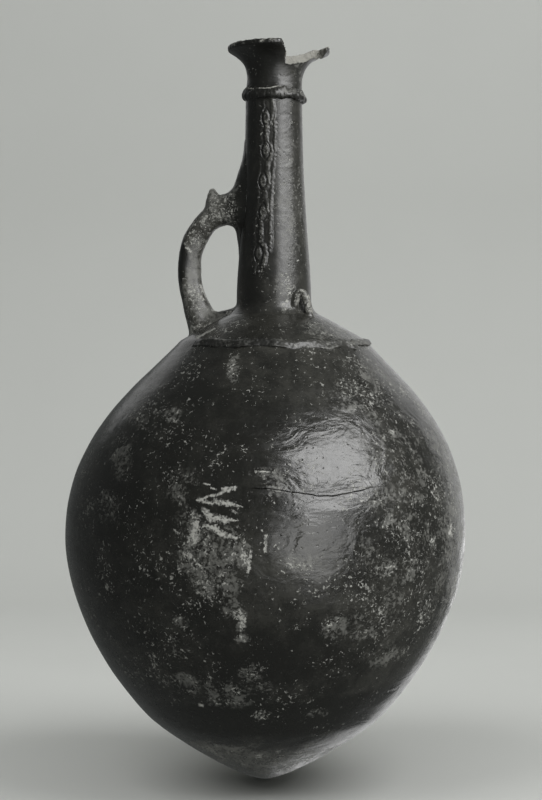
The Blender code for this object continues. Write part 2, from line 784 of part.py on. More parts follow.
def relief(parts, neck_space, jug):
    """Two straight ribs, with a rib between them that winds round a row of pellets."""
    beside_pellet = PELLET_WIDTH / 2 + RELIEF_GAP
    snake_right = beside_pellet + SNAKE_RADIUS
    left = -beside_pellet - SIDE_RIB_RADIUS
    right = snake_right + SNAKE_RADIUS + RELIEF_GAP + SIDE_RIB_RADIUS
    top = relief_top() - SNAKE_RADIUS
    end = relief_end()
    for name, shift, low in (
        ("left_rib", left, end),
        ("right_rib", right, end + RIGHT_RIB_SHORTER),
    ):
        heights = spread(top, low, SIDE_RIB_POINTS)
        rib(name, SIDE_RIB_RADIUS, heights, [shift] * len(heights), neck_space, parts, jug)
    heights = spread(top, end, len(PELLET_DROPS) * SNAKE_POINTS_PER_WAVE)
    shifts = []
    for height in heights:
        wave = math.cos(math.tau * pellet_count_above(height))
        shifts.append(snake_right - SNAKE_SWING * (1 - wave) / 2)
    rib("winding_rib", SNAKE_RADIUS, heights, shifts, neck_space, parts, jug)
    for number in range(len(PELLET_DROPS)):
        pellet(number, neck_space, parts, jug)


def pellet(number, neck_space, parts, jug):
    """A flattened ball of clay, taller than wide, pressed onto the neck."""
    name = f"pellet_{number + 1}"
    height = pellet_height(number)
    turns = spread(math.pi / 2, -math.pi / 2, PELLET_RINGS + 2)
    profile = [Vector((math.cos(t), math.sin(t))) for t in turns]
    profile[0].x = profile[-1].x = 0.0
    made = turned(name, profile, SMALL_STEPS, parts, jug, False)
    shape = Matrix.Diagonal((PELLET_WIDTH / 2, PELLET_PROUD, PELLET_HEIGHT / 2, 1.0))
    made.data.transform(shape)
    facing = Matrix.Rotation(math.radians(relief_angle(height)), 4, "Z")
    made.matrix_local = Matrix.Translation(on_neck(height)) @ facing
    cut(made, neck_space)


def main():
    clear_scene()
    parts = new_collection("jug")
    cutters = new_collection("cutters")
    jug = bpy.data.objects.new("jug", None)
    jug.location = (0.0, 0.0, -SEAT_HEIGHT)
    parts.objects.link(jug)
    spaces = envelopes(cutters, jug)
    body_space, neck_space = spaces
    body_halves(parts, cutters, jug)
    neck(parts, jug)
    mouth(parts, cutters, jug)
    neck_ring(parts, jug)
    shoulder_band(parts, body_space, jug)
    handle(parts, cutters, spaces, jug)
    handle_spur(parts, cutters, jug)
    neck_foot_lug(parts, spaces, jug)
    relief(parts, neck_space, jug)
    hide_cutters(cutters)
    for obj in parts.objects:
        if obj.type != "MESH":
            continue
        if obj.name.startswith(RUBBED_PIECES):
            finish(obj, RUBBED_SLIP, RUBBED_ROUGHNESS)
        else:
            finish(obj, SLIP, SLIP_ROUGHNESS)


main()
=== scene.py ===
"""Looks of a tall hand-built jug in dark burnished slip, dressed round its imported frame.

Lengths are in metres, but for the tables in millimetres, and angles in degrees. The front of the
jug faces -Y and its spout +X. An angle round the jug starts at the front and grows towards the
spout. Heights are measured up from the tip of the base until a piece is placed.
"""

import math

import bpy
import numpy as np
from bpy.props import FloatProperty, FloatVectorProperty, PointerProperty
from bpy.types import Operator, Panel, PropertyGroup
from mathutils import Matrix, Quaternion, Vector


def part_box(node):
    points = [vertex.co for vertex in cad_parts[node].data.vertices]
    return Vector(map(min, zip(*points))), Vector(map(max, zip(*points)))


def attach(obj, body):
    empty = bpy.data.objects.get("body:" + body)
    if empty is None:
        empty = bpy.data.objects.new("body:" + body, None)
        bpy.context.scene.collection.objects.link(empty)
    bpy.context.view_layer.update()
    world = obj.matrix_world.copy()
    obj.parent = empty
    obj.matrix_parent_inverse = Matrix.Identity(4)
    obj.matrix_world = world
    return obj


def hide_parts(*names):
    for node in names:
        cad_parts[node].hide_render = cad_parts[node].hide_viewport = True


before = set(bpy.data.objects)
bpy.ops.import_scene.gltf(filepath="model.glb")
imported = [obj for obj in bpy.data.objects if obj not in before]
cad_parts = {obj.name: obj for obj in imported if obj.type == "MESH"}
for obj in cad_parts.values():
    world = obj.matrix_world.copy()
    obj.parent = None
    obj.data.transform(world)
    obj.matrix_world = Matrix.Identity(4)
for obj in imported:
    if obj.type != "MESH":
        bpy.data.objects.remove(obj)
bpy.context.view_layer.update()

bl_info = {
    "name": "Burnished Jug",
    "version": (1, 0, 0),
    "blender": (4, 5, 0),
    "location": "3D View > Sidebar > Jug",
    "description": "Builds a hand-built jug in dark burnished slip, and the studio round it",
    "category": "Add Mesh",
}

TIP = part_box("lower_body")[0].z
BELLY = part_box("lower_body")[1].x
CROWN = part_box("neck")[1].z - TIP


# Places of the marks and of the relief, read off as real sizes in millimetres. Heights are above
# the tip, and places across are to the right of the middle, as seen from the front.


MM = 0.001

# The hairline crack over the belly: across and height. Then the heights of the rows of points that
# follow it, its depth, and how far off it the rows are drawn along
CRACK = (
    (-12, 251.2), (4.2, 250.3), (21, 248.1), (37.8, 245), (53.3, 244.6), (66, 247), (80, 249.6),
)
CRACK_ROWS = (246.6, 249.4)
CRACK_DEPTH, CRACK_PULL = 0.6 * MM, 16 * MM

# Pale crusts on the front of the body: across, height, two half sizes and strength
CRUSTS = (
    (-46, 203, 17, 30, 0.74), (-24, 207, 15, 18, 0.78), (-54, 202, 10, 22, 0.8),
    (-36, 182, 19, 16, 0.76), (-13.5, 198, 4, 20, 1), (-22, 163, 10, 10, 0.62),
    (-16.5, 152, 4, 12, 1), (-16, 140.5, 6, 5, 0.95), (-52, 226, 7, 10, 0.85),
    (-62, 151, 7, 6, 0.75), (-63, 130, 8, 10, 0.55), (-40, 97, 40, 12, 0.46),
    (-58, 104, 18, 7, 0.55), (-30, 88, 24, 7, 0.55), (-10, 112, 11, 9, 0.62),
    (1, 101, 7, 5, 0.6), (-2, 76.5, 9, 5, 0.6), (42, 76.5, 13, 4, 0.5), (52, 146, 13, 13, 0.62),
    (30, 198, 18, 9, 0.7), (78, 140, 22, 6, 0.5), (90, 120, 20, 12, 0.5), (89, 188, 11, 10, 0.9),
    (94, 287, 8, 6, 0.75), (105, 240, 20, 12, 0.52), (88, 262, 12, 20, 0.5),
    (67, 317, 20, 20, 0.46), (-24, 338, 6, 13, 0.8), (-98, 297, 11, 8, 0.62),
    (-70, 302, 9, 8, 0.55), (-110, 270, 12, 20, 0.5), (-118, 232, 12, 20, 0.45),
    (-60, 250, 16, 16, 0.46), (-55, 222, 16, 16, 0.46), (-2, 262, 12, 4, 0.66),
    (8, 255, 12, 12, 0.5), (50, 368, 26, 12, 0.55),
)

# Pale scratches on the front: start and end, each across and height, half width and taper
SCRATCHES = (
    (-49.3, 240.5, -40.5, 244.5, 0.7, -0.2), (-40.5, 244.5, -26.2, 249.5, 0.8, -0.6),
    (-30, 249.2, -21.5, 251, 1.9, 0.3), (-47, 241.2, -38.5, 239.6, 1.6, 0.2),
    (-35.2, 241.6, -25.8, 239.6, 2.2, 0.3), (-25.8, 239.6, -15.8, 237.8, 1.4, 0.7),
    (-44.2, 234.6, -38.6, 229.2, 1.8, -0.5), (-38.6, 229.2, -28.5, 227.9, 2.6, 0.1),
    (-28.5, 227.9, -19.8, 228.2, 2, 0.6), (-43, 223.1, -36.2, 222.6, 1.8, 0.1),
    (-36.2, 222.6, -30.8, 217.8, 2, 0.1), (-30.8, 217.8, -20.4, 215.2, 1.7, 0.4),
    (-44.4, 253, -40, 252.6, 0.6, 0.2), (-39, 250.2, -35.2, 249.8, 0.6, 0.2),
    (-50, 225, -51.5, 214, 2.4, -0.6), (1.2, 216.8, 0.6, 206, 1.1, 0.1),
    (-49, 82.9, -47.2, 82.6, 1.1, 0), (-6.2, 262.6, 3, 262.6, 0.8, 0.2),
    (-11.5, 189.5, -9.6, 206, 1.1, 0.1), (-53.6, 361.2, -40.2, 368, 1.1, 0.3),
)
HANDLE_SCRATCHES = (
    (-65.1, 435.6, -61.2, 431.5, 1, 0.1), (-63.5, 400.2, -60, 398.5, 0.8, 0.3),
    (-53, 404, -51.5, 399, 1.4, 0.3), (-51.5, 399, -43, 385.5, 0.6, 0),
    (-66.4, 438.8, -65.5, 438, 0.7, 0),
)

# The cut that forms the spout: across from the neck's axis, and height of its outer edge
CUT_LINE = (
    (0, 582.2), (13.6, 582.3), (19.7, 583.9), (25.2, 585.2), (30, 588.2), (37, 591.7),
    (41, 594.6), (44, 598.2),
)

# Upper edge of the shoulder band: angle in degrees and height
BAND_EDGE = (
    (-55, 358.8), (-50, 359.9), (-41, 361.1), (-34, 360.4), (-28, 359.8), (-22, 359.3),
    (-18, 360.5), (-11, 360.9), (-7, 361.3), (-2, 360.6), (3, 360.3), (7.5, 359.3), (11, 358.5),
    (17, 359.2), (24, 359.8), (28, 358.8), (32, 357.7), (36.5, 359.2), (43, 360.8), (47, 360.6),
    (52, 357.4), (56, 359.7), (72, 360),
)

# Thumb presses of the shoulder band: angle and half width in degrees, and how far the lower edge
# stands out, from -1 to 1
LOBES = (
    (-46, 8, -0.6), (-28, 8.5, -0.7), (-9, 9, -0.1), (17, 12, -1), (34.5, 6, 0.2),
    (46, 6.5, -0.5), (61, 8, 0.2), (79, 8, -0.7), (98, 9, 0.2), (121, 9, -0.6), (142, 9, 0.1),
    (165, 10, -0.8), (188, 9, 0.2), (209, 9, -0.6), (231, 9, 0.1), (251, 8, -0.6), (271, 8, 0.1),
    (292, 8.5, -0.5),
)

# Relief on the front of the neck: across from the neck's axis, and height
LEFT_RIB = (
    (-11.7, 555.5), (-8.9, 553.1), (-8.6, 548.3), (-10.8, 538.6), (-10.9, 533), (-10.7, 520),
    (-12.9, 482.3), (-13.2, 474), (-16, 451.7), (-16.3, 413),
)
RIGHT_RIB = (
    (-1, 556), (0.4, 544), (0.8, 515), (-1.4, 490), (-3, 466), (-3.4, 445), (-3.6, 431),
)
WINDING_RIB = (
    (-5.1, 557.5), (-1.5, 553.1), (-1.1, 549.9), (-1.7, 542.2), (-2.9, 537), (-5.4, 534),
    (-6.1, 531.3), (-6.1, 518.5), (-2.4, 513.5), (-2.2, 509), (-5, 502), (-6.2, 496),
    (-4.6, 490), (-4.6, 485), (-7.9, 480), (-7.9, 474), (-5.7, 468), (-5.7, 462), (-10.3, 457),
    (-10.4, 445), (-10.8, 438), (-7.5, 434), (-7.5, 427), (-8.8, 419),
)
PELLETS = (
    (-6.7, 538.6), (-6.9, 512.1), (-9.2, 487.1), (-9.3, 462.2), (-12.7, 428.7),
)

# Small knobs between the ribs: across, height and size
KNOBS = (
    (-9.5, 531.4, 1.4), (-14.1, 482.3, 1.3), (-12.9, 474.2, 1.4), (-10.5, 444.4, 1.9),
    (-3.3, 445.2, 1.7), (-8.7, 419.3, 2.2), (-13.1, 414.3, 1.5),
)


# Settings


def length(name, description, default):
    return FloatProperty(
        name=name, description=description, default=default, subtype="DISTANCE", unit="LENGTH"
    )


def share(name, description, default, low=0.0, high=1.0):
    return FloatProperty(name=name, description=description, default=default, min=low, max=high)


def colour(name, description, default):
    return FloatVectorProperty(
        name=name, description=description, default=default, subtype="COLOR", size=3, min=0, max=1
    )


class BodyShape(PropertyGroup):
    seat_height: length("Seat Height", "Where the base turns into the flank", 0.0565)
    seat_radius: length("Seat Radius", "Radius where the base turns into the flank", 0.0977)
    belly_height: length("Belly Height", "Height of the widest part", 0.2026)
    belly_radius: length("Belly Radius", "Radius of the widest part", BELLY)
    band_height: length("Band Height", "Corner of the shoulder", 0.3586)
    band_radius: length("Band Radius", "Radius at the corner of the shoulder", 0.0765)
    hole_height: length("Hole Height", "Where the shoulder meets the neck", 0.3836)
    hole_radius: length("Hole Radius", "Radius of the neck hole", 0.0289)
    wall: length("Wall", "Thickness of the wall", 0.0065)
    drift: length("Drift", "How far the neck stands off the belly's axis", 0.0074)
    unevenness: length("Unevenness", "Depth of the hollows left by the hands", 0.0011)
    crack_width: length("Crack Half Width", "Half width of the crack over the belly", 0.0004)


class NeckShape(PropertyGroup):
    foot_height: length("Foot Height", "End of the fillet at the neck's foot", 0.3916)
    foot_radius: length("Foot Radius", "Radius above the foot", 0.0308)
    foot_flare: length("Foot Flare", "How far the foot spreads on the shoulder", 0.0078)
    top_radius: length("Top Radius", "Radius under the ring", 0.0234)
    wall: length("Wall", "Thickness of the wall", 0.0058)
    ring_half: length("Ring Half Height", "Half the height of the clay ring", 0.0043)
    ring_proud: length("Ring Proud", "How far the clay ring stands out", 0.0028)


class MouthShape(PropertyGroup):
    waist_rise: length("Waist Rise", "Height of the narrowest part over the ring", 0.013)
    lip_rise: length("Lip Rise", "Height of the lip over the ring", 0.0364)
    lip_radius: length("Lip Radius", "Radius of the lip", 0.0388)
    wall: length("Wall", "Thickness of the wall", 0.0054)
    cut_set: length("Cut Set", "Where the collar ends, towards the spout", 0.007)
    notch_height: length("Notch Height", "Lowest edge of the cut", 0.5812)


class HandleShape(PropertyGroup):
    angle: FloatProperty(name="Angle", description="Where the handle stands", default=-102.0)
    radius: length("Radius", "Half the thickness of the rod", 0.0091)
    reach: length("Reach", "From the neck's axis to the rod's middle", 0.0711)
    root_height: length("Root Height", "Where the rod leaves the neck", 0.4686)
    foot_reach: length("Foot Reach", "Where the rod stands on the shoulder", 0.0592)
    spur_reach: length("Spur Reach", "Where the spur stands", 0.05)


class TrimShape(PropertyGroup):
    band_thickness: length("Band Thickness", "Half the thickness of the shoulder band", 0.0033)
    pellet_width: length("Pellet Width", "Width of a pellet", 0.005)
    pellet_height: length("Pellet Height", "Height of a pellet", 0.0104)
    rib_radius: length("Rib Radius", "Half the width of the straight ribs", 0.0011)
    winding_radius: length("Winding Radius", "Half the width of the winding rib", 0.0015)
    lug_radius: length("Lug Radius", "Half the thickness of the lug's clay", 0.003)


class SlipFinish(PropertyGroup):
    # The dark slip colour is also laid on as painted shade, on the sides away from the light and
    # under the belly, and the thin slip colour as painted light on lit sides.
    dark: colour("Dark Slip", "Where the slip is thick and smoked", (0.0082, 0.0082, 0.007))
    light: colour("Thin Slip", "Where the slip is rubbed thin", (0.034, 0.0335, 0.029))
    worn: colour("Worn Clay", "Where an edge is worn to the clay", (0.15, 0.147, 0.13))
    # The lime colour is also laid on as painted highlight and sheen, where its film is painted
    # over lit parts.
    lime: colour("Lime", "Specks and crusts that the soil left", (0.37, 0.37, 0.34))
    gloss: share("Burnish Roughness", "Roughness of the burnished slip", 0.3)


class StudioSet(PropertyGroup):
    paper: colour("Paper", "Floor and backdrop", (0.6, 0.61, 0.585))
    windows: share("Windows", "Strength of the light of all windows", 1.0, 0.0, 10.0)


GROUPS = {
    "jug_body": BodyShape,
    "jug_neck": NeckShape,
    "jug_mouth": MouthShape,
    "jug_handle": HandleShape,
    "jug_trim": TrimShape,
    "jug_slip": SlipFinish,
    "jug_studio": StudioSet,
}


def sizes(name):
    """The settings of one group, as they stand in the scene."""
    return getattr(bpy.context.scene, "jug_" + name)


# Outlines, as rows of (radius, height above the tip)


def leaning(degrees):
    """A unit vector that leans out from the upright, as (radius, height)."""
    angle = math.radians(degrees)
    return np.array([math.sin(angle), math.cos(angle)])


def bezier(start, start_handle, end_handle, end, count=40):
    """Points on a curve that leaves its ends towards two handles."""
    t = np.linspace(0.0, 1.0, count)[:, None]
    a, b, c, d = (np.asarray(p, float) for p in (start, start_handle, end_handle, end))
    return (1 - t) ** 3 * a + 3 * (1 - t) ** 2 * t * b + 3 * (1 - t) * t * t * c + t**3 * d


def chain(*curves):
    """Curves joined end to start."""
    return np.vstack([curves[0]] + [curve[1:] for curve in curves[1:]])


def smooth(value):
    """An S-curve from 0 to 1."""
    value = np.clip(value, 0.0, 1.0)
    return value * value * (3 - 2 * value)


def rise(value, start, width):
    """An S-curve that goes up from 0 at its start to 1, over a width."""
    return smooth((value - start) / width)


def fall(value, end, width):
    """An S-curve that goes down from 1 to 0 at its end, over a width."""
    return smooth((end - value) / width)


def peak(value, middle, half, top=1.0):
    """S-curves up to a middle and down again, flat between them where the top is over 1."""
    return smooth(top - np.abs(value - middle) / half)


def offset(outline, distance):
    """The outline moved out by a distance, or in by a negative one. It runs from the bottom up."""
    along = np.gradient(outline, axis=0)
    along /= np.linalg.norm(along, axis=1)[:, None]
    moved = outline + distance * np.stack([along[:, 1], -along[:, 0]], axis=1)
    moved[:, 0] = np.maximum(moved[:, 0], 0.0)
    return moved


def spaced(outline, step):
    """The outline with its points spread evenly, about a step apart."""
    run = np.concatenate([[0.0], np.cumsum(np.linalg.norm(np.diff(outline, axis=0), axis=1))])
    places = np.linspace(0.0, run[-1], max(2, int(run[-1] / step) + 1))
    return np.stack([np.interp(places, run, outline[:, i]) for i in (0, 1)], axis=1)


def shoulder_outline():
    """The low shoulder, from its corner in to the neck hole."""
    s = sizes("body")
    band = np.array([s.band_radius, s.band_height])
    hole = np.array([s.hole_radius, s.hole_height])
    return bezier(band, band + 0.015 * leaning(-60), hole - 0.015 * leaning(-68), hole)


def shoulder_height(radius):
    """How high the shoulder lies at a radius."""
    outline = shoulder_outline()[::-1]
    return np.interp(radius, outline[:, 0], outline[:, 1])


def body_outline():
    """The outside of the body, from its tip to the neck hole.

    Each curve leaves its ends by a length and a slope, so that the next one goes on smoothly.
    """
    s = sizes("body")
    tip = np.zeros(2)
    seat = np.array([s.seat_radius, s.seat_height])
    belly = np.array([s.belly_radius, s.belly_height])
    band = np.array([s.band_radius, s.band_height])
    base = bezier(tip, (0.018, 0.0), seat - 0.028 * leaning(46), seat)
    flank = bezier(seat, seat + 0.0484 * leaning(42), belly - (0.0, 0.0578), belly)
    dome = bezier(belly, belly + (0.0, 0.0857), band - 0.04 * leaning(-41), band)
    return chain(base, flank, dome, shoulder_outline())


def neck_outline():
    """The outside of the neck, from the thin edge of its foot up to the ring."""
    s = sizes("neck")
    foot = np.array([s.foot_radius, s.foot_height])
    edge_radius = s.foot_radius + s.foot_flare
    edge = np.array([edge_radius, shoulder_height(edge_radius)])
    corner = np.array([s.foot_radius, shoulder_height(s.foot_radius)])
    top = np.array([s.top_radius, CROWN])
    fillet = bezier(edge, edge + 0.6 * (corner - edge), foot + 0.7 * (corner - foot), foot)
    tube = bezier(foot, foot + (0.0, 0.03), top - (0.0, 0.09), top)
    return chain(fillet, tube)


def neck_radius(height):
    """How thick the neck is at a height."""
    outline = neck_outline()
    return np.interp(height, outline[:, 1], outline[:, 0])


def mouth_wall():
    """Outside, rounded lip and inside of the uncut mouth, from its join with the neck."""
    s = sizes("mouth")
    neck = sizes("neck")
    waist = np.array([neck.top_radius - 0.0008, CROWN + s.waist_rise])
    lip = np.array([s.lip_radius, CROWN + s.lip_rise])
    flare = bezier(waist, waist + (0.0, 0.011), lip - 0.012 * leaning(62), lip)
    outside = chain(np.array([[neck.top_radius, CROWN - 0.0005], waist]), flare)
    inside = offset(outside, -s.wall)
    inside[0] = (neck.top_radius - neck.wall, CROWN - 0.0005)
    middle = (outside[-1] + inside[-1]) / 2
    half = (outside[-1] - inside[-1]) / 2
    forward = np.array([-half[1], half[0]])
    turns = np.linspace(0.0, math.pi, 12)[1:-1, None]
    rounding = middle + np.cos(turns) * half + np.sin(turns) * forward
    return outside, rounding, inside


def drift(height):
    """How far the hand-built pot's axis has drifted towards the spout at this height."""
    s = sizes("body")
    return s.drift * rise(height, s.belly_height, sizes("neck").foot_height - s.belly_height)


# Fields: functions of position that the clay's surfaces are read from


# A distance beyond all others, and how clay thins out on what lies under it
FAR = 1.0
SKIRT, SUNK = 0.0006, 0.0005


def ripple(x, y, z, wave, seed):
    """Soft hollows and swellings of about one wave's length, from -1 to 1."""
    draw = np.random.default_rng(seed)
    total = 0.0
    for _ in range(7):
        direction = draw.normal(size=3)
        direction *= math.tau / wave * draw.uniform(0.6, 1.6) / np.linalg.norm(direction)
        phase = draw.uniform(0, math.tau)
        total = total + np.sin(direction[0] * x + direction[1] * y + direction[2] * z + phase)
    return total / 4.0


def segment_gap(u, v, start, end):
    """Distance in a plane from the straight line between two points."""
    along = end - start
    t = ((u - start[0]) * along[0] + (v - start[1]) * along[1]) / (along @ along)
    t = np.clip(t, 0, 1)
    return np.hypot(u - start[0] - t * along[0], v - start[1] - t * along[1])


def outline_field(outline, low, high, step=0.0004):
    """Signed distance from a closed outline, as a function of radius and height, from a table."""
    radii = np.arange(low[0], high[0] + step, step)
    heights = np.arange(low[1], high[1] + step, step)
    r, h = np.meshgrid(radii, heights, indexing="ij")
    nearest = np.full(r.shape, FAR)
    inside = np.zeros(r.shape, bool)
    for a, b in zip(outline, np.roll(outline, -1, axis=0)):
        along = b - a
        if along @ along < 1e-14:
            continue
        nearest = np.minimum(nearest, segment_gap(r, h, a, b))
        if abs(along[1]) > 1e-12:
            over = (a[1] > h) != (b[1] > h)
            inside ^= over & (r < a[0] + (h - a[1]) * along[0] / along[1])
    table = np.where(inside, -nearest, nearest)

    def look_up(radius, height):
        u = np.clip((radius - radii[0]) / step, 0, len(radii) - 1.001)
        v = np.clip((height - heights[0]) / step, 0, len(heights) - 1.001)
        i, j = u.astype(int), v.astype(int)
        u, v = u - i, v - j
        near = table[i, j] * (1 - v) + table[i, j + 1] * v
        far = table[i + 1, j] * (1 - v) + table[i + 1, j + 1] * v
        return near * (1 - u) + far * u

    return look_up


def rod_field(points, radii):
    """Signed distance from a rod along points, as a function of position."""

    def distance(x, y, z):
        nearest = np.full(np.broadcast(x, y, z).shape, FAR)
        for (a, b), (ra, rb) in zip(zip(points, points[1:]), zip(radii, radii[1:])):
            along = b - a
            t = (x - a[0]) * along[0] + (y - a[1]) * along[1] + (z - a[2]) * along[2]
            t = np.clip(t / (along @ along), 0, 1)
            gap = (x - a[0] - t * along[0]) ** 2 + (y - a[1] - t * along[1]) ** 2
            gap = np.sqrt(gap + (z - a[2] - t * along[2]) ** 2)
            nearest = np.minimum(nearest, gap - ra - t * (rb - ra))
        return nearest

    return distance


def melt(a, b, reach):
    """The union of two fields, with clay smoothed into the corner between them."""
    near = np.clip(0.5 + 0.5 * (b - a) / reach, 0, 1)
    return b * (1 - near) + a * near - reach * near * (1 - near)


def laid_on(clay, ground, reach):
    """Clay laid on a ground and smoothed out over it till it is gone, without the ground."""
    away = rise(clay, 0.4 * reach, reach)
    joined = melt(clay, ground + 1.6 * SKIRT * away, reach)
    return np.maximum(joined, -(ground + SUNK))


def ground_field():
    """Distance outside body, neck and waist, on which the other clay is laid."""
    body = body_outline()
    neck = neck_outline()
    waist = mouth_wall()[0][1:12]
    lower = body[body[:, 1] < neck[0, 1]]
    outline = np.vstack([lower, neck, waist, [[0.0, waist[-1, 1]]]])
    look_up = outline_field(outline, (0.0, 0.33), (0.115, 0.58))

    def ground(x, y, z):
        return look_up(np.hypot(x - drift(z), y) + hollow_depth(x, y, z), z)

    return ground


def hollow_depth(x, y, z):
    """How deep the hands pressed the wall in. The slim neck is more even than the body."""
    even = 1.0 - 0.72 * rise(z, 0.33, 0.06)
    pressed_in = 0.5 + 0.34 * ripple(x, y, z, 0.1, 3) + 0.16 * ripple(x, y, z, 0.034, 8)
    return sizes("body").unevenness * even * np.clip(pressed_in, 0.0, 1.0)


# Meshes


def mesh_object(name, points, faces):
    """A smooth mesh piece. Its points come with heights above the tip."""
    points = np.array(points, float)
    points[:, 2] += TIP
    mesh = bpy.data.meshes.new(name)
    mesh.from_pydata(points.tolist(), [], faces)
    mesh.validate()
    mesh.shade_smooth()
    obj = bpy.data.objects.new(name, mesh)
    bpy.context.scene.collection.objects.link(obj)
    return obj


def skin(name, field, low, high, step):
    """The surface where a field crosses zero, with a point in each small cell that it crosses."""
    axes = [np.arange(a, b + step, step) for a, b in zip(low, high)]
    value = field(*np.meshgrid(*axes, indexing="ij"))
    inside = value < 0
    cells = np.array(value.shape) - 1
    count = np.zeros(cells.prod())
    total = np.zeros((cells.prod(), 3))
    quads = []
    for axis in range(3):
        here = [slice(None)] * 3
        there = [slice(None)] * 3
        here[axis], there[axis] = slice(0, -1), slice(1, None)
        edge = np.argwhere(inside[tuple(here)] != inside[tuple(there)])
        a = value[tuple(here)][tuple(edge.T)]
        b = value[tuple(there)][tuple(edge.T)]
        point = edge.astype(float)
        point[:, axis] += a / (a - b)
        ring = []
        for i, j in ((1, 1), (0, 1), (0, 0), (1, 0)):
            cell = edge.copy()
            cell[:, (axis + 1) % 3] -= i
            cell[:, (axis + 2) % 3] -= j
            flat = np.ravel_multi_index(tuple(np.clip(cell, 0, cells - 1).T), cells)
            ring.append(flat)
            count += np.bincount(flat, minlength=len(count))
            for k in range(3):
                total[:, k] += np.bincount(flat, weights=point[:, k], minlength=len(count))
        ring = np.stack(ring, axis=1)
        quads.append(np.where((a < 0)[:, None], ring, ring[:, ::-1]))
    used = np.flatnonzero(count)
    number = np.zeros(len(count), int)
    number[used] = np.arange(len(used))
    points = total[used] / count[used, None] * step + np.array(low)
    return mesh_object(name, points, number[np.vstack(quads)].tolist())


def turned(name, outline, steps, place, loop=False):
    """An outline turned round the axis and closed where an end lies on it.

    The place function gives the points of angles, radii and heights.
    """
    angle = np.linspace(0, math.tau, steps, endpoint=False)
    rings = outline[outline[:, 0] > 0]
    a, r = np.meshgrid(angle, rings[:, 0])
    h = np.meshgrid(angle, rings[:, 1])[1]
    points = place(a, r, h).reshape(-1, 3)
    here = np.arange(steps)
    there = np.roll(here, -1)
    faces = []
    for row in range(len(rings) if loop else len(rings) - 1):
        low = row * steps
        high = (row + 1) % len(rings) * steps
        strip = np.stack([low + here, low + there, high + there, high + here], axis=1)
        faces += strip.tolist()
    for pole, start in ((outline[0], 0), (outline[-1], (len(rings) - 1) * steps)):
        if loop or pole[0] > 0:
            continue
        centre = place(np.zeros(1), np.zeros(1), np.array([pole[1]])).reshape(1, 3)
        points = np.vstack([points, centre])
        fan = np.stack([np.full(steps, len(points) - 1), start + there, start + here], axis=1)
        faces += fan.tolist() if start == 0 else fan[:, ::-1].tolist()
    return mesh_object(name, points, faces)


def around(angle, radius, height):
    """Points at an angle round the drifting axis."""
    x = drift(height) + radius * np.sin(angle)
    return np.stack([x, -radius * np.cos(angle), height], axis=-1)


def pressed(angle, radius, height):
    """Points on a wall with the hollows that the hands left in it."""
    x, y, z = np.moveaxis(around(angle, radius, height), -1, 0)
    return around(angle, np.maximum(radius - hollow_depth(x, y, z), 0.0), height)


def from_neck(angle, reach, height):
    """A point at an angle in degrees and a reach from the neck's axis."""
    turn = math.radians(angle)
    axis = sizes("body").drift
    return np.array([axis + reach * math.sin(turn), -reach * math.cos(turn), height])


def paint(obj, **masks):
    """Writes numbers between 0 and 1 to the points, which the materials read by their names."""
    for name, values in masks.items():
        values = np.clip(np.broadcast_to(values, len(obj.data.vertices)), 0, 1)
        attribute = obj.data.attributes.new(name, "FLOAT", "POINT")
        attribute.data.foreach_set("value", values.astype(np.float32))


def points_of(obj):
    """The points of a piece as x, y and height above the tip."""
    flat = np.empty(len(obj.data.vertices) * 3)
    obj.data.vertices.foreach_get("co", flat)
    x, y, z = flat.reshape(-1, 3).T
    return x, y, z - TIP


def blob(x, z, centre, size):
    """A soft round patch, seen from the front: 1 in its middle and 0 outside it."""
    return smooth(1.35 - np.hypot((x - centre[0]) / size[0], (z - centre[1]) / size[1]))


def settle(obj, nodes, finish):
    """A finished piece rides on the jug, stands for its nodes and gets its material."""
    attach(obj, "root")
    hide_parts(*nodes)
    obj.data.materials.append(slip_material(finish))


# Clay pieces


# Points round the axis in each row of the turned pieces
BODY_STEPS, NECK_STEPS = 340, 200


def crack_height(x):
    """The height of the crack at a place across the belly, with a fine wobble."""
    path = MM * np.array(CRACK)
    return np.interp(x, path[:, 0], path[:, 1]) + 0.0004 * np.sin(x * 420) * np.cos(x * 173)


def body_wall(angle, radius, height):
    """The pressed wall, whose rows gather along the crack and sink into it."""
    s = sizes("body")
    x, y, z = np.moveaxis(around(angle, radius, height), -1, 0)
    outer = radius > s.belly_radius - 1.2 * s.wall
    near = rise(x, -0.018, 0.012) * fall(x, 0.088, 0.012) * rise(-y, 0.05, 0.04) * outer
    middle = MM * np.mean(CRACK_ROWS)
    pull = peak(height, middle, CRACK_PULL) * near
    height = height + pull * (crack_height(x) - middle)
    deep = peak(height, crack_height(x), s.crack_width) * near
    return pressed(angle, radius - CRACK_DEPTH * deep, height)


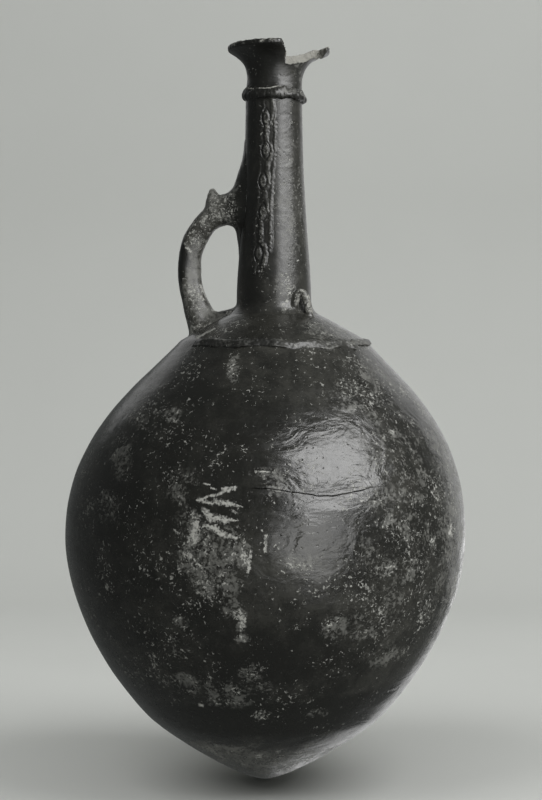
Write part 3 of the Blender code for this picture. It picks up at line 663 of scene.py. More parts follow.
def build_body():
    """A closed shell: the fine outside from tip to hole, and the inside back down to the base."""
    s = sizes("body")
    outside = spaced(body_outline(), step=0.0024)
    rows = MM * np.linspace(*CRACK_ROWS, 13)
    gathered = np.stack([np.interp(rows, outside[:, 1], outside[:, 0]), rows], axis=1)
    clear = (outside[:, 1] < rows[0] - 0.0008) | (outside[:, 1] > rows[-1] + 0.0008)
    outside = np.vstack([outside[clear], gathered])
    outside = outside[outside[:, 1].argsort(kind="stable")]
    inside = spaced(offset(body_outline(), -s.wall), step=0.0065)
    inside = inside[(inside[:, 0] > s.hole_radius) | (inside[:, 1] < s.belly_height)]
    inside[0, 0] = 0.0
    obj = turned("body", np.vstack([outside, inside[::-1]]), BODY_STEPS, body_wall)
    x, y, z = points_of(obj)
    front = rise(-y, -0.02, 0.06)
    crust = np.zeros(len(x))
    for across, up, wide, tall, amount in np.array(CRUSTS) * (MM, MM, MM, MM, 1):
        patch = blob(x, z, (across, up), (wide, tall))
        crust = np.maximum(crust, amount * front * patch)
    behind = rise(y, 0.01, 0.05)
    far = 0.5 + 0.5 * ripple(x, y, z, 0.09, 21)
    crust = np.maximum(crust, behind * rise(far, 0.6, 0.3) * 0.7)
    right = rise(x, 0.022, 0.07) * rise(z, 0.1, 0.06)
    film_and_rim_sheen = right * (0.34 + 0.2 * ripple(x, y, z, 0.035, 22))
    # Painted sheen: the film is laid thick along the right edge of the belly, as the pale
    # reflection along that edge.
    rim_sheen = rise(x, 0.112, 0.036) * rise(z, 0.07, 0.05)
    film_and_rim_sheen = np.maximum(film_and_rim_sheen, rim_sheen * (0.62 + 0.15 * ripple(x, y, z, 0.05, 26)))
    wave = 0.006 * ripple(x, y, z, 0.05, 24) + 0.003 * ripple(x, y, z, 0.016, 25)
    base = 0.7 * fall(z, 0.052 + wave, 0.014)
    crust = np.maximum.reduce([crust, film_and_rim_sheen, base])
    paint(obj, crust=crust)
    dots = 0.58 + 0.04 * right + 0.3 * crust + 0.13 * fall(x, -0.02, 0.05)
    paint(obj, flecked=dots - 0.25 * fall(z, 0.09, 0.02))
    pit = blob(x, z, (0.05, 0.245), (0.06, 0.062)) * front
    paint(obj, pitted=np.maximum(pit, 0.35 * right))
    # Painted shade: the slip is darkened in a band under the belly, low in the middle, on the
    # left, and in a patch above the belly.
    below = fall(z, 0.094 + 0.08 * x + wave, 0.018) * rise(z, 0.046 + wave, 0.016)
    low = 0.55 * blob(x, z, (0.022, 0.115), (0.06, 0.04)) * front
    middle = 0.3 * blob(x, z, (-0.012, 0.265), (0.035, 0.06)) * front
    left = 0.26 * fall(x, 0.0, 0.08)
    paint(obj, smoked=np.maximum.reduce([below, left, low, middle]))
    paint(obj, rubbed=0.8 * fall(z, 0.05 + wave, 0.016))
    along = rise(x, -0.012, 0.006) * fall(x, 0.082, 0.01) * (y < -0.05)
    near = peak(z, crack_height(x), s.crack_width, 1.4)
    paint(obj, crack=0.85 * along * near)
    settle(obj, ["lower_body", "upper_body"], "burnished_slip_body")


def build_neck():
    """A closed shell: the outside, and the bore and the spigot that sits in the shoulder."""
    s = sizes("neck")
    body = sizes("body")
    outer = spaced(neck_outline(), step=0.0016)
    outer[0] -= (0.0, 0.0004)
    spigot, play = 0.013, 0.0003
    bore = np.array([
        [s.top_radius - s.wall, CROWN - 0.001],
        [body.hole_radius - s.wall, body.hole_height - spigot],
        [body.hole_radius - play, body.hole_height - spigot],
        [body.hole_radius - play, body.hole_height - 0.001],
    ])
    ring = np.vstack([outer, bore[:1], spaced(bore, step=0.008)[1:]])
    obj = turned("neck", ring, NECK_STEPS, pressed, loop=True)
    x, y, z = points_of(obj)
    # Painted highlight: lime film laid along the highlight stripe on the front of the neck and
    # where it widens at the foot.
    highlight_stripe = 0.38 * blob(x, z, (0.02, 0.47), (0.014, 0.08))
    foot = 0.7 * blob(x, z, (0.0165, 0.398), (0.01, 0.02))
    paint(obj, crust=np.maximum(highlight_stripe, foot) * (y < 0))
    low = fall(z, 0.408, 0.014)
    paint(obj, flecked=0.45 + 0.3 * rise(x, 0.01, 0.02) + 0.25 * low)
    paint(obj, pitted=0.35 + 0.3 * blob(x, z, (0.0165, 0.392), (0.012, 0.014)))
    # Painted shade on the left of the neck, and painted light as thinner slip on its right.
    paint(obj, smoked=0.5 * fall(x, 0.002, 0.012), rubbed=0.18 * rise(x, 0.012, 0.015))
    settle(obj, ["neck"], "burnished_slip_neck")


# How far the spout and the collar are drawn out from the round mouth, how steeply the cut rises
# through the wall, and how much the collar's end leans
SPOUT_STRETCH, COLLAR_STRETCH, CUT_SLOPE, END_LEAN = 1.14, 0.955, 1.34, 0.09


def build_mouth():
    """The flaring mouth with the spout cut from it: the cut slopes outwards and is worn pale."""
    s = sizes("mouth")
    axis = sizes("body").drift
    outside, rounding, inside = mouth_wall()
    low, high = (0.0, CROWN - 0.003), (0.056, CROWN + 0.048)
    wall = outline_field(np.vstack([outside, rounding, inside[::-1]]), low, high, 0.0003)
    crown = ((0.0, outside[-1, 1] + 0.01), (0.0, CROWN - 0.002))
    hull = outline_field(np.vstack([outside, rounding[:4], crown]), low, high, 0.0003)
    cut = MM * np.array(CUT_LINE)

    def unstretched(x, y, z):
        reach = rise(z, CROWN, s.lip_rise)
        stretch = np.where(x > axis, SPOUT_STRETCH, COLLAR_STRETCH)
        return np.hypot((x - axis) / (1 + reach * (stretch - 1)), y)

    def cut_gap(x, y, z):
        """Distance from what was cut away: over the sloping cut, and beyond the collar's end."""
        across = x - axis
        chips = ripple(x, y, z, 0.006, 5) * 0.0006 + ripple(x, y, z, 0.0028, 6) * 0.0003
        bevel = CUT_SLOPE * np.clip(-hull(unstretched(x, y, z), z), -0.002, s.wall)
        floor = np.interp(across, cut[:, 0], cut[:, 1]) + bevel + 0.45 * chips
        lump = 0.002 * peak(z, 0.5905, 0.005)
        end = s.cut_set + 0.0012 - END_LEAN * (z - s.notch_height) + lump + 1.8 * chips
        return np.maximum(floor - z, end - across)

    def field(x, y, z):
        rim = 0.00025 * (1 + ripple(x, y, z, 0.011, 12)) * rise(z, 0.59, 0.01)
        clay = wall(unstretched(x, y, z), z + rim + 0.0002)
        under = z + 0.0028 * rise(x - axis, 0.028, 0.013)
        clay = np.minimum(clay, wall(unstretched(x, y, under), under + 0.0002))
        clay = clay + 0.00025 * ripple(x, y, z, 0.004, 41) * rise(z, 0.594, 0.003)
        clay = clay + 0.00025 * (1 + ripple(x, y, z, 0.02, 44))
        return -melt(-clay, cut_gap(x, y, z), 0.0007)

    low, high = (axis - 0.0425, -0.043, CROWN - 0.002), (axis + 0.048, 0.043, CROWN + 0.045)
    obj = skin("mouth", field, low, high, step=0.0005)
    x, y, z = points_of(obj)
    edge = fall(cut_gap(x, y, z), 0.001, 0.0009)
    spout = rise(x - axis, s.cut_set + 0.001, 0.002)
    top = rise(z, 0.5958, 0.0012)
    patches = smooth(0.66 + 1.2 * ripple(x, y, z, 0.011, 31))
    outer_edge = np.interp(x - axis, cut[:, 0], cut[:, 1])
    tip = rise(x - axis, 0.031, 0.004) * rise(z, outer_edge + 0.0004, 0.001)
    rims = np.maximum(edge * (0.3 + 0.52 * spout), 0.55 * top * patches * (1 - tip))
    paint(obj, worn=np.maximum(rims, 0.8 * tip))
    near = rise(x - axis, 0.012, 0.006) * fall(x, axis + 0.026, 0.006)
    low_film = 0.55 * near * rise(z, 0.566, 0.006)
    # The worn tip also gets lime film as painted light, where its rounding faces away from the
    # light.
    paint(obj, crust=np.maximum.reduce([low_film, 0.75 * top * patches, tip]))
    # The left of the mouth is darkened as painted shade.
    paint(obj, flecked=0.25 + 0.4 * near, pitted=0.7, smoked=0.9 * fall(x, 0.016, 0.012))
    settle(obj, ["mouth"], "burnished_slip_mouth")


def build_ring(ground):
    """A clay ring with a sloping top and an undercut, worn pale along its upper edge, with a
    painted highlight on its right side and painted shade on its left.
    """
    s = sizes("neck")
    axis = sizes("body").drift

    def parts(x, y, z):
        angle = np.arctan2(x - axis, -y)
        radius = s.top_radius + 0.0003 * np.sin(2 * angle + 0.6)
        middle = CROWN - 0.0012 - 0.04 * (x - axis) + 0.0005 * np.sin(3 * angle)
        half = s.ring_half * (1 + 0.1 * np.sin(5 * angle + 1) + 0.08 * np.sin(9 * angle))
        proud = s.ring_proud * (1.12 + 0.12 * np.sin(4 * angle + 2))
        out = (np.hypot(x - axis, y) - radius) / proud
        up = (z - middle) / (half * np.where(z > middle, 1.35, 0.8))
        return out, up, proud

    def clay(x, y, z):
        out, up, proud = parts(x, y, z)
        power = np.where(up > 0, 1.25, 2.2)
        size = (np.abs(out) ** power + np.abs(up) ** power) ** (1 / power)
        rough = 0.00035 * ripple(x, y, z, 0.008, 51) + 0.0002 * ripple(x, y, z, 0.0035, 52)
        return (size - 1) * 0.8 * proud + rough

    def field(x, y, z):
        return laid_on(clay(x, y, z), ground(x, y, z), 0.0008)

    reach = s.top_radius + 0.0055
    low = (axis - reach, -reach, CROWN - 0.0085)
    obj = skin("neck_ring", field, low, (axis + reach, reach, CROWN + 0.0085), step=0.0005)
    x, y, z = points_of(obj)
    up = parts(x, y, z)[1]
    edge = peak(up, 0.84, 0.17) * fall(x, axis + 0.009, 0.006)
    rubs = smooth(1.2 + 1.1 * ripple(x, y, z, 0.01, 53))
    right = rise(x - axis, 0.019, 0.006)
    paint(obj, worn=np.maximum(edge * rubs, 0.45 * right * rubs))
    # Painted highlight: lime film on the upper right side of the ring, which faces the light.
    side = 0.6 * rise(x - axis, 0.002, 0.008) * rise(up, -0.1, 0.3)
    paint(obj, crust=np.maximum(side, 1.1 * edge * rubs))
    # The left of the ring is darkened as painted shade.
    paint(obj, smoked=0.8 * fall(x, axis + 0.004, 0.02), flecked=0.3)
    settle(obj, ["neck_ring"], "rubbed_slip_relief")


def turn_between(start, end):
    """The turn from one angle to another in degrees, the short way round."""
    return (end - start + 180) % 360 - 180


# How far the lower edge of the band lies below the upper one on the front
BAND_DROP = 0.0066


def build_band(ground):
    """A strip of clay pressed down with the thumb, so that its lower edge leans in and out."""
    s = sizes("trim")
    body = sizes("body")
    axis = drift(body.band_height)
    edge = np.array(BAND_EDGE) * (1, MM)
    handle = sizes("handle").angle

    def proud(x, y, z):
        angle = np.degrees(np.arctan2(x - axis, -y))
        shift = body.band_height - 0.3586
        top = np.interp(angle, edge[:, 0], edge[:, 1], period=360) + shift
        behind = rise(np.abs(angle), 60, 15)
        top = top + behind * 0.0006 * np.sin(np.radians(angle) * 13)
        down = (top - z) / (BAND_DROP - 0.0016 * rise(np.abs(angle), 48, 12))
        lens = 0.0
        lean = 0.0
        for middle, half, tilt in LOBES:
            away = turn_between(middle, angle)
            press = smooth(1.35 - np.hypot(away / half, (down - 0.7) / 0.48))
            lens = np.maximum(lens, press)
            lean = lean + tilt * press
        swell = rise(down, -0.06, 0.22) * smooth((1.12 - down) / (0.26 + 0.1 * lens))
        thick = s.band_thickness * 0.68 * (1 - 0.24 * lens + 0.95 * lean * (down - 0.42))
        thick = thick + 0.00035 * ripple(x, y, z, 0.011, 61) + 0.00016 * ripple(x, y, z, 0.004, 62)
        away = np.abs(turn_between(handle, angle))
        return swell * thick * rise(away, 45, 12)

    def field(x, y, z):
        below = ground(x, y, z)
        return np.maximum(below - proud(x, y, z) + 0.0003, -(below + SUNK))

    reach = body.band_radius + 0.0095
    low = (axis - reach, -reach, body.band_height - 0.0085)
    high = (axis + reach, reach, body.band_height + 0.0045)
    obj = skin("shoulder_band", field, low, high, step=0.0006)
    x, y, z = points_of(obj)
    angle = np.degrees(np.arctan2(x - axis, -y))
    top = np.interp(angle, edge[:, 0], edge[:, 1], period=360)
    ridge = peak(z, top - 0.0007, 0.0008)
    rubs = smooth(0.5 + 1.3 * ripple(x, y, z, 0.009, 64))
    paint(obj, worn=0.58 * ridge * rubs)
    blot = 0.9 * blob(x, z, (-0.0385, 0.3602), (0.0018, 0.0014)) * (y < 0)
    film = 0.25 + 0.35 * rise(angle, 27, 8) - 0.25 * peak(angle, 17, 8, 1.5)
    # The left part of the band is darkened as painted shade, where its dents face away from the
    # light.
    paint(obj, crust=np.maximum(film, blot), smoked=0.7 * fall(angle, 8, 14), flecked=0.5)
    settle(obj, ["shoulder_band"], "rubbed_slip_relief")


def handle_route():
    """The handle's middle line as rows of (reach from the neck's axis, height), root to foot."""
    s = sizes("handle")
    foot = np.array([s.foot_reach, shoulder_height(s.foot_reach)])
    root = np.array([neck_radius(s.root_height) - s.radius / 2, s.root_height])
    bow = np.array([s.reach, foot[1] + 0.49 * (root[1] - foot[1])])
    beside = (root[0] + 0.7 * (bow[0] - root[0]), root[1])
    above = (bow[0], bow[1] + 0.52 * (root[1] - bow[1]))
    upper = bezier(root, beside, above, bow, 13)
    below = bow - (0.0, 0.4 * (bow[1] - foot[1]))
    lower = bezier(bow, below, foot + 0.35 * (bow - foot), foot, 13)
    return chain(upper, lower)


def build_handle(ground):
    """Rod, spur and webs melted together, and smoothed out over neck and shoulder."""
    s = sizes("handle")
    route = handle_route()
    run = np.linspace(0, 1, len(route))
    middle = smooth(run / 0.3) * fall(run, 1, 0.2)
    route[:, 0] += 0.0006 * middle
    radii = s.radius * (1.05 + 0.6 * smooth(1 - run / 0.2) + 0.32 * smooth(1 - (1 - run) / 0.38))

    def placed(points):
        return [from_neck(s.angle, *point) for point in points]

    rod = rod_field(placed(route), radii)
    flat_side = math.radians(17)
    facing = np.array([math.sin(flat_side), -math.cos(flat_side), 0.0])
    set_back = [p - 2.2 * r * facing for p, r in zip(placed(route), radii)]
    broad = rod_field(set_back, 3.0 * radii)
    below, above = 0.0335, 0.049
    climb = np.linspace(-below, above, 9)
    away = np.abs(climb) / np.where(climb > 0, above, below)
    hold = (1 - away) ** np.where(climb > 0, 1.0, 1.6)
    web_radii = s.radius * (1 + 0.62 * hold)
    sunk = web_radii * (1 - hold) + 0.0006
    heights = s.root_height + climb
    web = rod_field(placed(zip(neck_radius(heights) - sunk, heights)), web_radii)
    corner = ((0.0288, 0.4565), (0.0262, 0.448), (0.024, 0.438), (0.0236, 0.424))
    corner = rod_field(placed(corner), (0.006, 0.0052, 0.0048, 0.003))
    reaches = np.linspace(s.foot_reach, 0.0308, 9)
    depths = np.linspace(0.0105, 0.003, 9)
    floor = shoulder_height(reaches) + depths - s.radius
    foot = rod_field(placed(zip(reaches, floor)), [s.radius] * 9)
    shift = np.array([s.spur_reach - 0.05, 0.0])
    saddle = ((0.03, 0.4712), (0.04, 0.4697), (0.0488, 0.468))
    saddle = rod_field(placed(saddle + shift), (0.0112, 0.0097, 0.009))
    horn = ((0.049, 0.4672), (0.0507, 0.4732), (0.0515, 0.4774), (0.052, 0.4812))
    spur = rod_field(placed(horn + shift), (0.009, 0.0068, 0.005, 0.0029))

    def field(x, y, z):
        clay = -melt(-rod(x, y, z), -broad(x, y, z), 0.0015)
        clay = melt(clay, saddle(x, y, z), 0.003)
        clay = melt(clay, spur(x, y, z), 0.003)
        webs = melt(web(x, y, z), foot(x, y, z), 0.002)
        webs = melt(webs, corner(x, y, z), 0.002)
        clay = melt(clay, webs, 0.005) + 0.00035 * ripple(x, y, z, 0.022, 14)
        return laid_on(clay + 0.00015 * ripple(x, y, z, 0.008, 15), ground(x, y, z), 0.005)

    obj = skin("handle", field, (-0.087, -0.028, 0.342), (-0.002, 0.04, 0.526), 0.0008)
    x, y, z = points_of(obj)
    upper = rise(z, 0.436, 0.02) * fall(x, -0.018, 0.01)
    # Painted light: lime film on the flat face that looks towards the light and on the web, as
    # painted sheen; on the upper part the film is partly lime and partly painted highlight.
    face = rise(x + 0.3 * np.abs(z - 0.425), -0.0655, 0.006) * fall(x, -0.03, 0.01)
    web_sheen = 0.95 * rise(x, -0.058, 0.012) * fall(z, 0.396, 0.012)
    paint(obj, crust=np.maximum.reduce([0.85 * upper, 0.72 * face, web_sheen]))
    grain = rise(x + 0.35 * np.abs(z - 0.462), -0.062, 0.01)
    paint(obj, worn=0.42 * upper * grain, flecked=0.6 + 0.3 * upper, pitted=0.35 + 0.3 * upper)
    # Painted shade over all but the lit face, and thinner slip near the top and, as painted light,
    # on that face.
    paint(obj, smoked=0.9 * (1 - face))
    paint(obj, rubbed=0.5 * rise(z, 0.43, 0.04) * fall(x, -0.022, 0.01) + 0.7 * face)
    settle(obj, ["handle", "handle_spur"], "burnished_slip_handle")


def build_lug(ground):
    """A small arch of clay in the corner of neck and shoulder, worn pale."""
    s = sizes("trim")
    neck = sizes("neck")
    low = neck.foot_height - 0.004
    side = neck_radius(low)
    reach = side + 0.0075
    root = np.array([side, low])
    land = np.array([reach, shoulder_height(reach) - 0.5 * s.lug_radius])
    top = neck.foot_height + 0.0105
    route = bezier(root, (side + 0.001, top), (reach - 0.0005, top), land, 24)
    angles = np.linspace(32.5, 47.5, 24)
    radii = 0.92 * s.lug_radius * (1 + 0.15 * np.linspace(0, 1, 24))
    rod = rod_field([from_neck(a, *p) for a, p in zip(angles, route)], radii)

    def field(x, y, z):
        clay = rod(x, y, z) + 0.0002 * ripple(x, y, z, 0.008, 9)
        return laid_on(clay, ground(x, y, z), 0.0025)

    obj = skin("neck_foot_lug", field, (0.012, -0.044, 0.37), (0.052, -0.012, 0.409), 0.0004)
    x, y, z = points_of(obj)
    outer = rise(ground(x, y, z), 0.001, 0.002)
    paint(obj, worn=0.54 * outer, crust=0.7 * outer, rubbed=0.3 + 0.4 * outer)
    settle(obj, ["neck_foot_lug"], "burnished_slip_neck")


def path_gap(a, h, path):
    """Distance from a path on the unrolled front of the neck."""
    nearest = np.full(np.broadcast(a, h).shape, FAR)
    path = MM * np.array(path)
    for start, end in zip(path, path[1:]):
        nearest = np.minimum(nearest, segment_gap(a, h, start, end))
    return nearest


# How far the relief stands out: ribs and knobs by their widths, pellets and the bed in metres
RIB_PROUD, KNOB_PROUD, PELLET_PROUD, BED_PROUD = 0.72, 0.85, 0.00125, 0.0004


def relief_height(a, h):
    """How far the relief stands out of the neck, across and up its front."""
    s = sizes("trim")
    power = 1.6
    wave = 0.00035 * np.sin(h * 900 + 4 * np.sin(h * 260)) + 0.00025 * ripple(a, 0.0, h, 0.006, 71)
    lumps = 1 + 0.3 * ripple(a, 0.0, h, 0.009, 72) + 0.15 * ripple(a, 0.0, h, 0.0035, 73)
    clay = 0.0
    widths = (s.rib_radius, s.rib_radius, s.winding_radius)
    for path, width in zip((LEFT_RIB, RIGHT_RIB, WINDING_RIB), widths):
        gap = path_gap(a + wave, h, path) / (2.3 * width)
        clay = np.maximum(clay, RIB_PROUD * width * lumps * smooth(1.1 - gap))
    groove = 0.0
    for across, up in MM * np.array(PELLETS):
        lozenge = (np.abs(a - across) * 2 / s.pellet_width) ** power
        lozenge = (lozenge + (np.abs(h - up) * 2 / s.pellet_height) ** power) ** (1 / power)
        dome = fall(lozenge, 1.3, 0.55) * (1 - 0.35 * smooth(0.85 - lozenge))
        clay = np.maximum(clay, PELLET_PROUD * dome * (0.7 + 0.35 * lumps))
        groove = np.maximum(groove, peak(lozenge, 1.42, 0.26))
    for across, up, size in MM * np.array(KNOBS):
        knob = smooth(1.15 - np.hypot(a - across, h - up) / (1.3 * size))
        clay = np.maximum(clay, KNOB_PROUD * size * knob)
    inside = rise(a, -0.0175, 0.004) * fall(a, 0.0015, 0.004)
    clay = np.maximum(clay, BED_PROUD * inside * rise(h, 0.42, 0.02) * lumps)
    return clay * (1 - 0.8 * groove * fall(clay, 0.0013, 0.0006))


def build_relief(ground):
    """Two ribs with a winding rib between them, and pellets pressed on beside it."""
    axis = sizes("body").drift

    def field(x, y, z):
        sheet = relief_height(x[:, :1, :] - axis, z[:, :1, :])
        below = ground(x, y, z)
        return np.maximum(below - sheet + 0.00015, -(below + 0.0004))

    obj = skin("neck_relief", field, (-0.0125, -0.0335, 0.408), (0.0125, -0.0165, 0.559), 0.00036)
    x, y, z = points_of(obj)
    high = rise(ground(x, y, z), 0.0005, 0.0006)
    # Painted highlight: the worn paleness of the raised parts is laid on more strongly on the
    # right, lit side.
    lit = 0.25 + 0.75 * rise(x, -0.004, 0.006)
    paint(obj, worn=0.56 * high * lit * smooth(0.5 + 0.9 * ripple(x, y, z, 0.01, 23)))
    # The left of the relief is darkened as painted shade.
    paint(obj, smoked=0.5 * fall(x, 0.004, 0.006), flecked=0.5, crust=0.5 * high)
    paint(obj, rubbed=0.4 * high)
    nodes = ["left_rib", "right_rib", "winding_rib"] + [f"pellet_{n + 1}" for n in range(5)]
    settle(obj, nodes, "rubbed_slip_relief")


# Materials


NUMBER = "NodeSocketFloat"
COLOUR = "NodeSocketColor"
VECTOR = "NodeSocketVector"

# How far lime covers the slip: as a film, which in places is painted highlight, in grains, and how
# strong specks and scratches are in it
FILM_COVER, GRAIN_COVER = 0.19, 0.68
SPECK_STRENGTH, SCRATCH_STRENGTH = 0.75, 1.05

# What is added to the roughness, and metres that are added to the height
STREAK_ROUGH, FILM_ROUGH, GRAIN_ROUGH, WORN_ROUGH = 0.22, 0.2, 0.4, 0.4
GRAIN_HEIGHT, WEAR_HEIGHT, PIT_DEPTH, GRIT_HEIGHT = 0.0001, -0.00005, 0.00018, 0.000012


def wire(tree, kind, inputs=None, **settings):
    """A new node in a tree. Its inputs take a value, or what feeds them."""
    node = tree.nodes.new(kind)
    for name, value in settings.items():
        setattr(node, name, value)
    for key, value in (inputs or {}).items():
        value = getattr(value, "socket", value)
        if isinstance(value, bpy.types.NodeSocket):
            tree.links.new(value, node.inputs[key])
        else:
            node.inputs[key].default_value = value
    return node


class Wired:
    """What a socket puts out. Each sum or product of it is a new node in the same tree."""

    def __init__(self, socket):
        self.socket = socket
        self.tree = socket.id_data

    def math(self, operation, *others, clamp=False):
        inputs = dict(enumerate((self, *others)))
        node = wire(self.tree, "ShaderNodeMath", inputs, operation=operation, use_clamp=clamp)
        return Wired(node.outputs[0])

    def __add__(self, other):
        return self.math("ADD", other)

    def __mul__(self, other):
        return self.math("MULTIPLY", other)

    def scaled(self, gain, plus=0.0):
        return self.math("MULTIPLY_ADD", gain, plus)

    def bold(self, gain):
        """A cloud's value with more contrast, round zero."""
        return self.scaled(gain, -0.5 * gain)

    def span(self, low, high, to_low=0.0, to_high=1.0):
        """The value carried from one span to another, with soft ends."""
        inputs = {0: self, 1: low, 2: high, 3: to_low, 4: to_high}
        kind = {"interpolation_type": "SMOOTHSTEP"}
        return Wired(wire(self.tree, "ShaderNodeMapRange", inputs, **kind).outputs[0])

    def vector(self, operation, other=(0, 0, 0)):
        """This vector combined with another one, or scaled by a number."""
        inputs = {0: self, "Scale" if operation == "SCALE" else 1: other}
        node = wire(self.tree, "ShaderNodeVectorMath", inputs, operation=operation)
        return Wired(node.outputs["Value" if operation in ("DOT_PRODUCT", "LENGTH") else "Vector"])


def noise(where, scale, detail=3.0, rough=0.55, stretch=None, distortion=0.0):
    """A cloud of values round one half, whose features are about 1 / scale metres wide."""
    if stretch:
        where = where.vector("MULTIPLY", stretch)
    inputs = {"Vector": where, "Scale": scale, "Detail": detail, "Roughness": rough}
    node = wire(where.tree, "ShaderNodeTexNoise", {**inputs, "Distortion": distortion})
    return Wired(node.outputs[0])


def blend(amount, a, b):
    """Colour a with an amount of colour b laid over it."""
    node = wire(amount.tree, "ShaderNodeMix", {0: amount, 6: a, 7: b}, data_type="RGBA")
    return Wired(node.outputs[2])


def new_group(name, inputs, outputs):
    """A new node group, which takes coordinates and more.

    Returns what comes in, by name, and a function that puts out a value under a name.
    """
    tree = bpy.data.node_groups.new(name, "ShaderNodeTree")
    sockets = [("INPUT", "Coordinates", VECTOR)]
    sockets += [("INPUT", *pair) for pair in inputs.items()]
    sockets += [("OUTPUT", *pair) for pair in outputs.items()]
    for side, label, kind in sockets:
        tree.interface.new_socket(name=label, in_out=side, socket_type=kind)
    start = tree.nodes.new("NodeGroupInput")
    end = tree.nodes.new("NodeGroupOutput")

    def give(label, value):
        tree.links.new(value.socket, end.inputs[label])

    return {socket.name: Wired(socket) for socket in start.outputs if socket.name}, give


def tone_group(name):
    """Slip that is thick in clouds and thinner between them, darker where shade is painted on it,
    and thinner where it is worn thin and where light is painted on it.
    """
    inputs = {"Dark": COLOUR, "Thin": COLOUR, "Smoked": NUMBER, "Rubbed": NUMBER}
    given, give = new_group(name, inputs, {"Colour": COLOUR})
    where = given["Coordinates"]
    amount = noise(where, 11.0, 4.0, 0.6).scaled(0.9)
    amount = noise(where, 75.0, 5.0, 0.65, distortion=0.4).scaled(0.75, amount)
    amount = noise(where, 620.0, 2.0, 0.7).scaled(0.35, amount)
    amount = given["Rubbed"].scaled(0.55, amount)
    amount = given["Smoked"].scaled(-0.35, amount)
    give("Colour", blend(amount.span(0.78, 1.42), given["Dark"], given["Thin"]))


def speck_group(name):
    """Small ragged flecks in loose clusters, more of them where the density is higher."""
    given, give = new_group(name, {"Density": NUMBER}, {"Mask": NUMBER})
    where = given["Coordinates"]
    lift = given["Density"].scaled(0.45, noise(where, 30.0, 4.0, 0.65).bold(1.5))
    ragged = noise(where, 400.0, 4.0, 0.62, distortion=0.8).bold(3.3)
    coarse = noise(where, 150.0, 6.0, 0.78, distortion=0.5).bold(3.6)
    small = (ragged + lift).span(0.78, 0.9)
    give("Mask", small.math("MAXIMUM", (coarse + lift).span(0.94, 1.04)))


def crust_group(name):
    """A thin gritty film of lime, and the grains that stand on it where there is more. Where its
    amount is painted over lit parts, the film is also a painted highlight.
    """
    given, give = new_group(name, {"Amount": NUMBER}, {"Film": NUMBER, "Crust": NUMBER})
    where, amount = given["Coordinates"], given["Amount"]
    near = amount.span(0.04, 0.45)
    broad = noise(where, 70.0, 5.0, 0.65, distortion=0.6).bold(3.2)
    close = noise(where, 330.0, 4.0, 0.72).bold(4.2)
    give("Film", amount.scaled(0.9, broad + close).span(0.3, 1.2) * near)
    grains = noise(where, 520.0, 5.0, 0.72, distortion=0.5).bold(3.6)
    patchy = noise(where, 85.0, 5.0, 0.65).bold(2.6)
    give("Crust", amount.scaled(0.8, grains + patchy).span(0.88, 1.08) * near)


def stroke_group(name):
    """A scratch that tapers, between two points that are seen from the front."""
    inputs = {"Start": VECTOR, "End": VECTOR, "Half Width": NUMBER, "Taper": NUMBER}
    given, give = new_group(name, {**inputs, "Behind": NUMBER}, {"Mask": NUMBER})
    where = given["Coordinates"]
    bend = noise(where, 70.0, 2.0).scaled(0.004, -0.002)
    push = wire(where.tree, "ShaderNodeCombineXYZ", {2: bend}).outputs[0]
    front = where.vector("ADD", push).vector("MULTIPLY", (1.0, 0.0, 1.0))
    from_start = front.vector("SUBTRACT", given["Start"])
    along = given["End"].vector("SUBTRACT", given["Start"])
    part = from_start.vector("DOT_PRODUCT", along)
    part = part.math("DIVIDE", along.vector("DOT_PRODUCT", along), clamp=True)
    gap = from_start.vector("SUBTRACT", along.vector("SCALE", part)).vector("LENGTH")
    width = given["Half Width"] * (part * given["Taper"]).scaled(-1.0, 1.0)
    width = width * noise(where, 520.0, 4.0, 0.75).span(0.32, 0.62, 0.15, 1.8)
    grit = noise(where, 430.0, 4.0, 0.7).span(0.38, 0.54, 0.18, 1.0)
    depth = Wired(wire(where.tree, "ShaderNodeSeparateXYZ", {0: where}).outputs[1])
    seen = depth.math("LESS_THAN", given["Behind"])
    give("Mask", gap.span(width, width * 0.5) * grit * seen)


def wear_group(name):
    """Edges worn to the clay, in ragged patches where the wear is strong."""
    given, give = new_group(name, {"Wear": NUMBER}, {"Mask": NUMBER})
    wear = given["Wear"]
    level = wear.scaled(0.9, noise(given["Coordinates"], 330.0, 5.0, 0.68))
    give("Mask", level.span(0.92, 1.2) * wear.span(0.03, 0.35))


def burnish_group(name):
    """The marks of the burnishing pebble, and the wrinkles and pits of the slip under them."""
    inputs = {"Pitted": NUMBER, "Wrinkle Depth": NUMBER}
    given, give = new_group(name, inputs, {"Streaks": NUMBER, "Height": NUMBER})
    where, pitted = given["Coordinates"], given["Pitted"]
    level = noise(where, 30.0, 4.0, 0.65, (1.0, 1.0, 6.0)).bold(1.2)
    give("Streaks", level + noise(where, 90.0, 4.0, 0.65, (3.0, 3.0, 0.35)).bold(1.2))
    broad = noise(where, 36.0, 3.0, 0.5, (1.0, 1.0, 1.6), 1.2)
    close = noise(where, 120.0, 4.0, 0.6, (1.0, 1.0, 1.8), 0.8)
    wrinkles = close.scaled(0.3, broad * 1.6) * pitted.scaled(1.1, 0.6)
    height = noise(where, 900.0, 2.0, 0.6).scaled(GRIT_HEIGHT, wrinkles * given["Wrinkle Depth"])
    pits = wire(where.tree, "ShaderNodeTexVoronoi", {"Vector": where, "Scale": 260.0}).outputs
    hole = Wired(pits["Distance"]).span(0.05, 0.32, -1.0, 0.0)
    few = Wired(wire(where.tree, "ShaderNodeSeparateColor", {0: pits["Color"]}).outputs[0])
    hole = hole * few.math("LESS_THAN", pitted * 0.3)
    give("Height", hole.scaled(PIT_DEPTH, height))


NODE_GROUPS = {
    "Slip Tone": tone_group,
    "Lime Specks": speck_group,
    "Lime Crust": crust_group,
    "Scratch Stroke": stroke_group,
    "Worn Edge": wear_group,
    "Burnish Marks": burnish_group,
}

